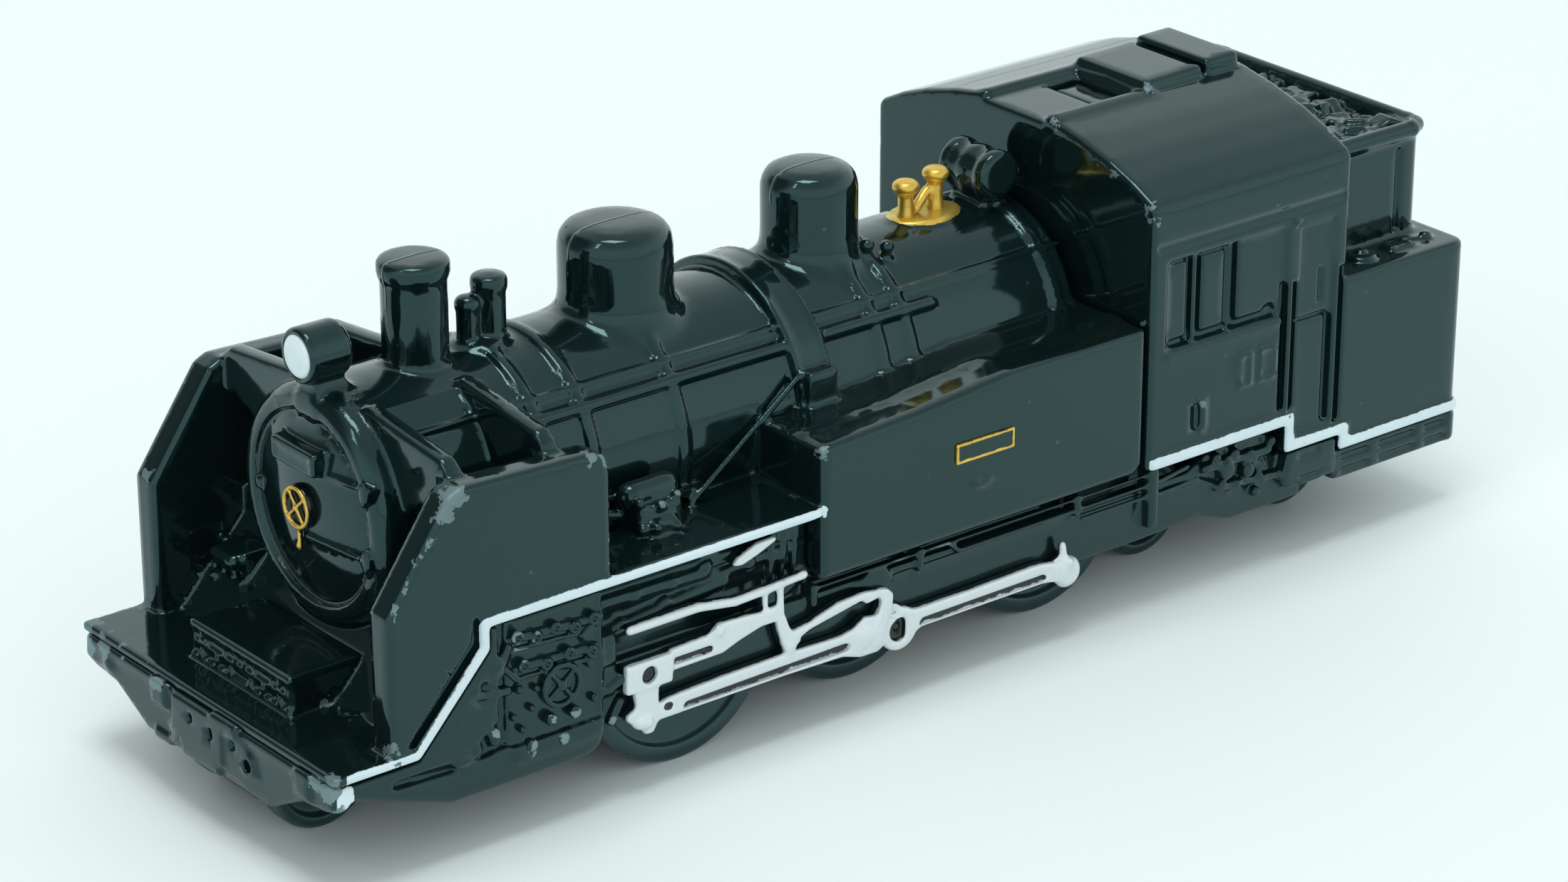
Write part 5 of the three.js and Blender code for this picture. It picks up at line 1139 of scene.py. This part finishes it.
# axles and screws keep their CAD solids, with rounded edges and turned steel
for node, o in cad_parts.items():
    if node.startswith("axle_") or node.startswith("screw_"):
        o.data.materials.clear()
        o.data.materials.append(STEEL)
        b = o.modifiers.new("round", "BEVEL")
        b.width, b.segments, b.limit_method, b.angle_limit = 0.00006, 2, "ANGLE", math.radians(35)
        o.data.polygons.foreach_set("use_smooth", np.ones(len(o.data.polygons), bool))
        w = o.modifiers.new("normals", "WEIGHTED_NORMAL")
        w.keep_sharp = True

# ------------------------------------------------------------------ floor
fm = Nodes("floor")
grain = fm.noise(60, 2)
fm.done(fm.mix(grain, (0.86, 0.935, 0.935, 1), (0.88, 0.955, 0.955, 1)), 0.6, 0.0, None, ior=1.3)
fme = bpy.data.meshes.new("floor")
fme.from_pydata([(-3, -3, 0), (3, -3, 0), (3, 3, 0), (-3, 3, 0)], [], [(0, 1, 2, 3)])
fme.materials.append(fm.m)
floor = bpy.data.objects.new("floor", fme)
bpy.context.scene.collection.objects.link(floor)

# ------------------------------------------------------------------ light
world = bpy.data.worlds.new("studio")
bpy.context.scene.world = world
world.use_nodes = True
wt = world.node_tree
bg = wt.nodes["Background"]
# a bright backdrop low down and a softer ceiling
sky = wt.nodes.new("ShaderNodeTexCoord")
height = wt.nodes.new("ShaderNodeSeparateXYZ")
fade = wt.nodes.new("ShaderNodeMapRange")
fade.interpolation_type = "SMOOTHSTEP"
for key, val in (("From Min", 0.38), ("From Max", 0.86), ("To Min", 1.14), ("To Max", 0.68)):
    fade.inputs[key].default_value = val
wt.links.new(sky.outputs["Generated"], height.inputs[0])
wt.links.new(height.outputs[2], fade.inputs["Value"])
# the room is unlit beyond the front of the table
lobe = wt.nodes.new("ShaderNodeVectorMath")
lobe.operation = "DOT_PRODUCT"
lobe.inputs[1].default_value = (0.68, -0.58, 0.45)
dim = wt.nodes.new("ShaderNodeMapRange")
dim.interpolation_type = "SMOOTHSTEP"
for key, val in (("From Min", 0.75), ("From Max", 0.95), ("To Min", 1.0), ("To Max", 0.15)):
    dim.inputs[key].default_value = val
both = wt.nodes.new("ShaderNodeMath")
both.operation = "MULTIPLY"
wt.links.new(sky.outputs["Generated"], lobe.inputs[0])
wt.links.new(lobe.outputs["Value"], dim.inputs["Value"])
wt.links.new(fade.outputs[0], both.inputs[0])
wt.links.new(dim.outputs[0], both.inputs[1])
wt.links.new(both.outputs[0], bg.inputs["Strength"])
bg.inputs["Color"].default_value = (0.93, 1.0, 1.0, 1)
bpy.context.scene.view_settings.view_transform = "Standard"


def lamp(name, at, aim, size, power, colour=(1, 1, 1), size_y=None):
    d = bpy.data.lights.new(name, "AREA")
    d.energy, d.color, d.size = power, colour, size
    if size_y:
        d.shape, d.size_y = "RECTANGLE", size_y
    o = bpy.data.objects.new(name, d)
    o.location = at
    o.rotation_mode = "QUATERNION"
    o.rotation_quaternion = (Vector(aim) - Vector(at)).to_track_quat("-Z", "Y")
    bpy.context.scene.collection.objects.link(o)
    return o


lamp("key", (0.05, 0.012, 0.60), (0, 0, 0.01), 0.24, 1.19, size_y=0.24)
lamp("strip", (0.35, 0.05, 0.40), (0, 0, 0.02), 0.04, 0.10, size_y=0.16)

# ------------------------------------------------------------------ camera
cd = bpy.data.cameras.new("camera")
cd.sensor_fit, cd.sensor_width, cd.lens = "HORIZONTAL", 36.0, 110.2
cd.clip_start, cd.clip_end = 0.01, 20
cam = bpy.data.objects.new("camera", cd)
right, up, forward = Vector((-0.77909, 0.62691, 0.0)), Vector((-0.24691, -0.30685, 0.91918)), Vector((-0.57624, -0.71613, -0.39385))
back = -forward.normalized()
right = up.cross(back).normalized()
up = back.cross(right)
m = Matrix((right, up, back)).transposed().to_4x4()
m.translation = Vector((0.15021, 0.18458, 0.11224))
cam.matrix_world = m
bpy.context.scene.collection.objects.link(cam)
bpy.context.scene.camera = cam
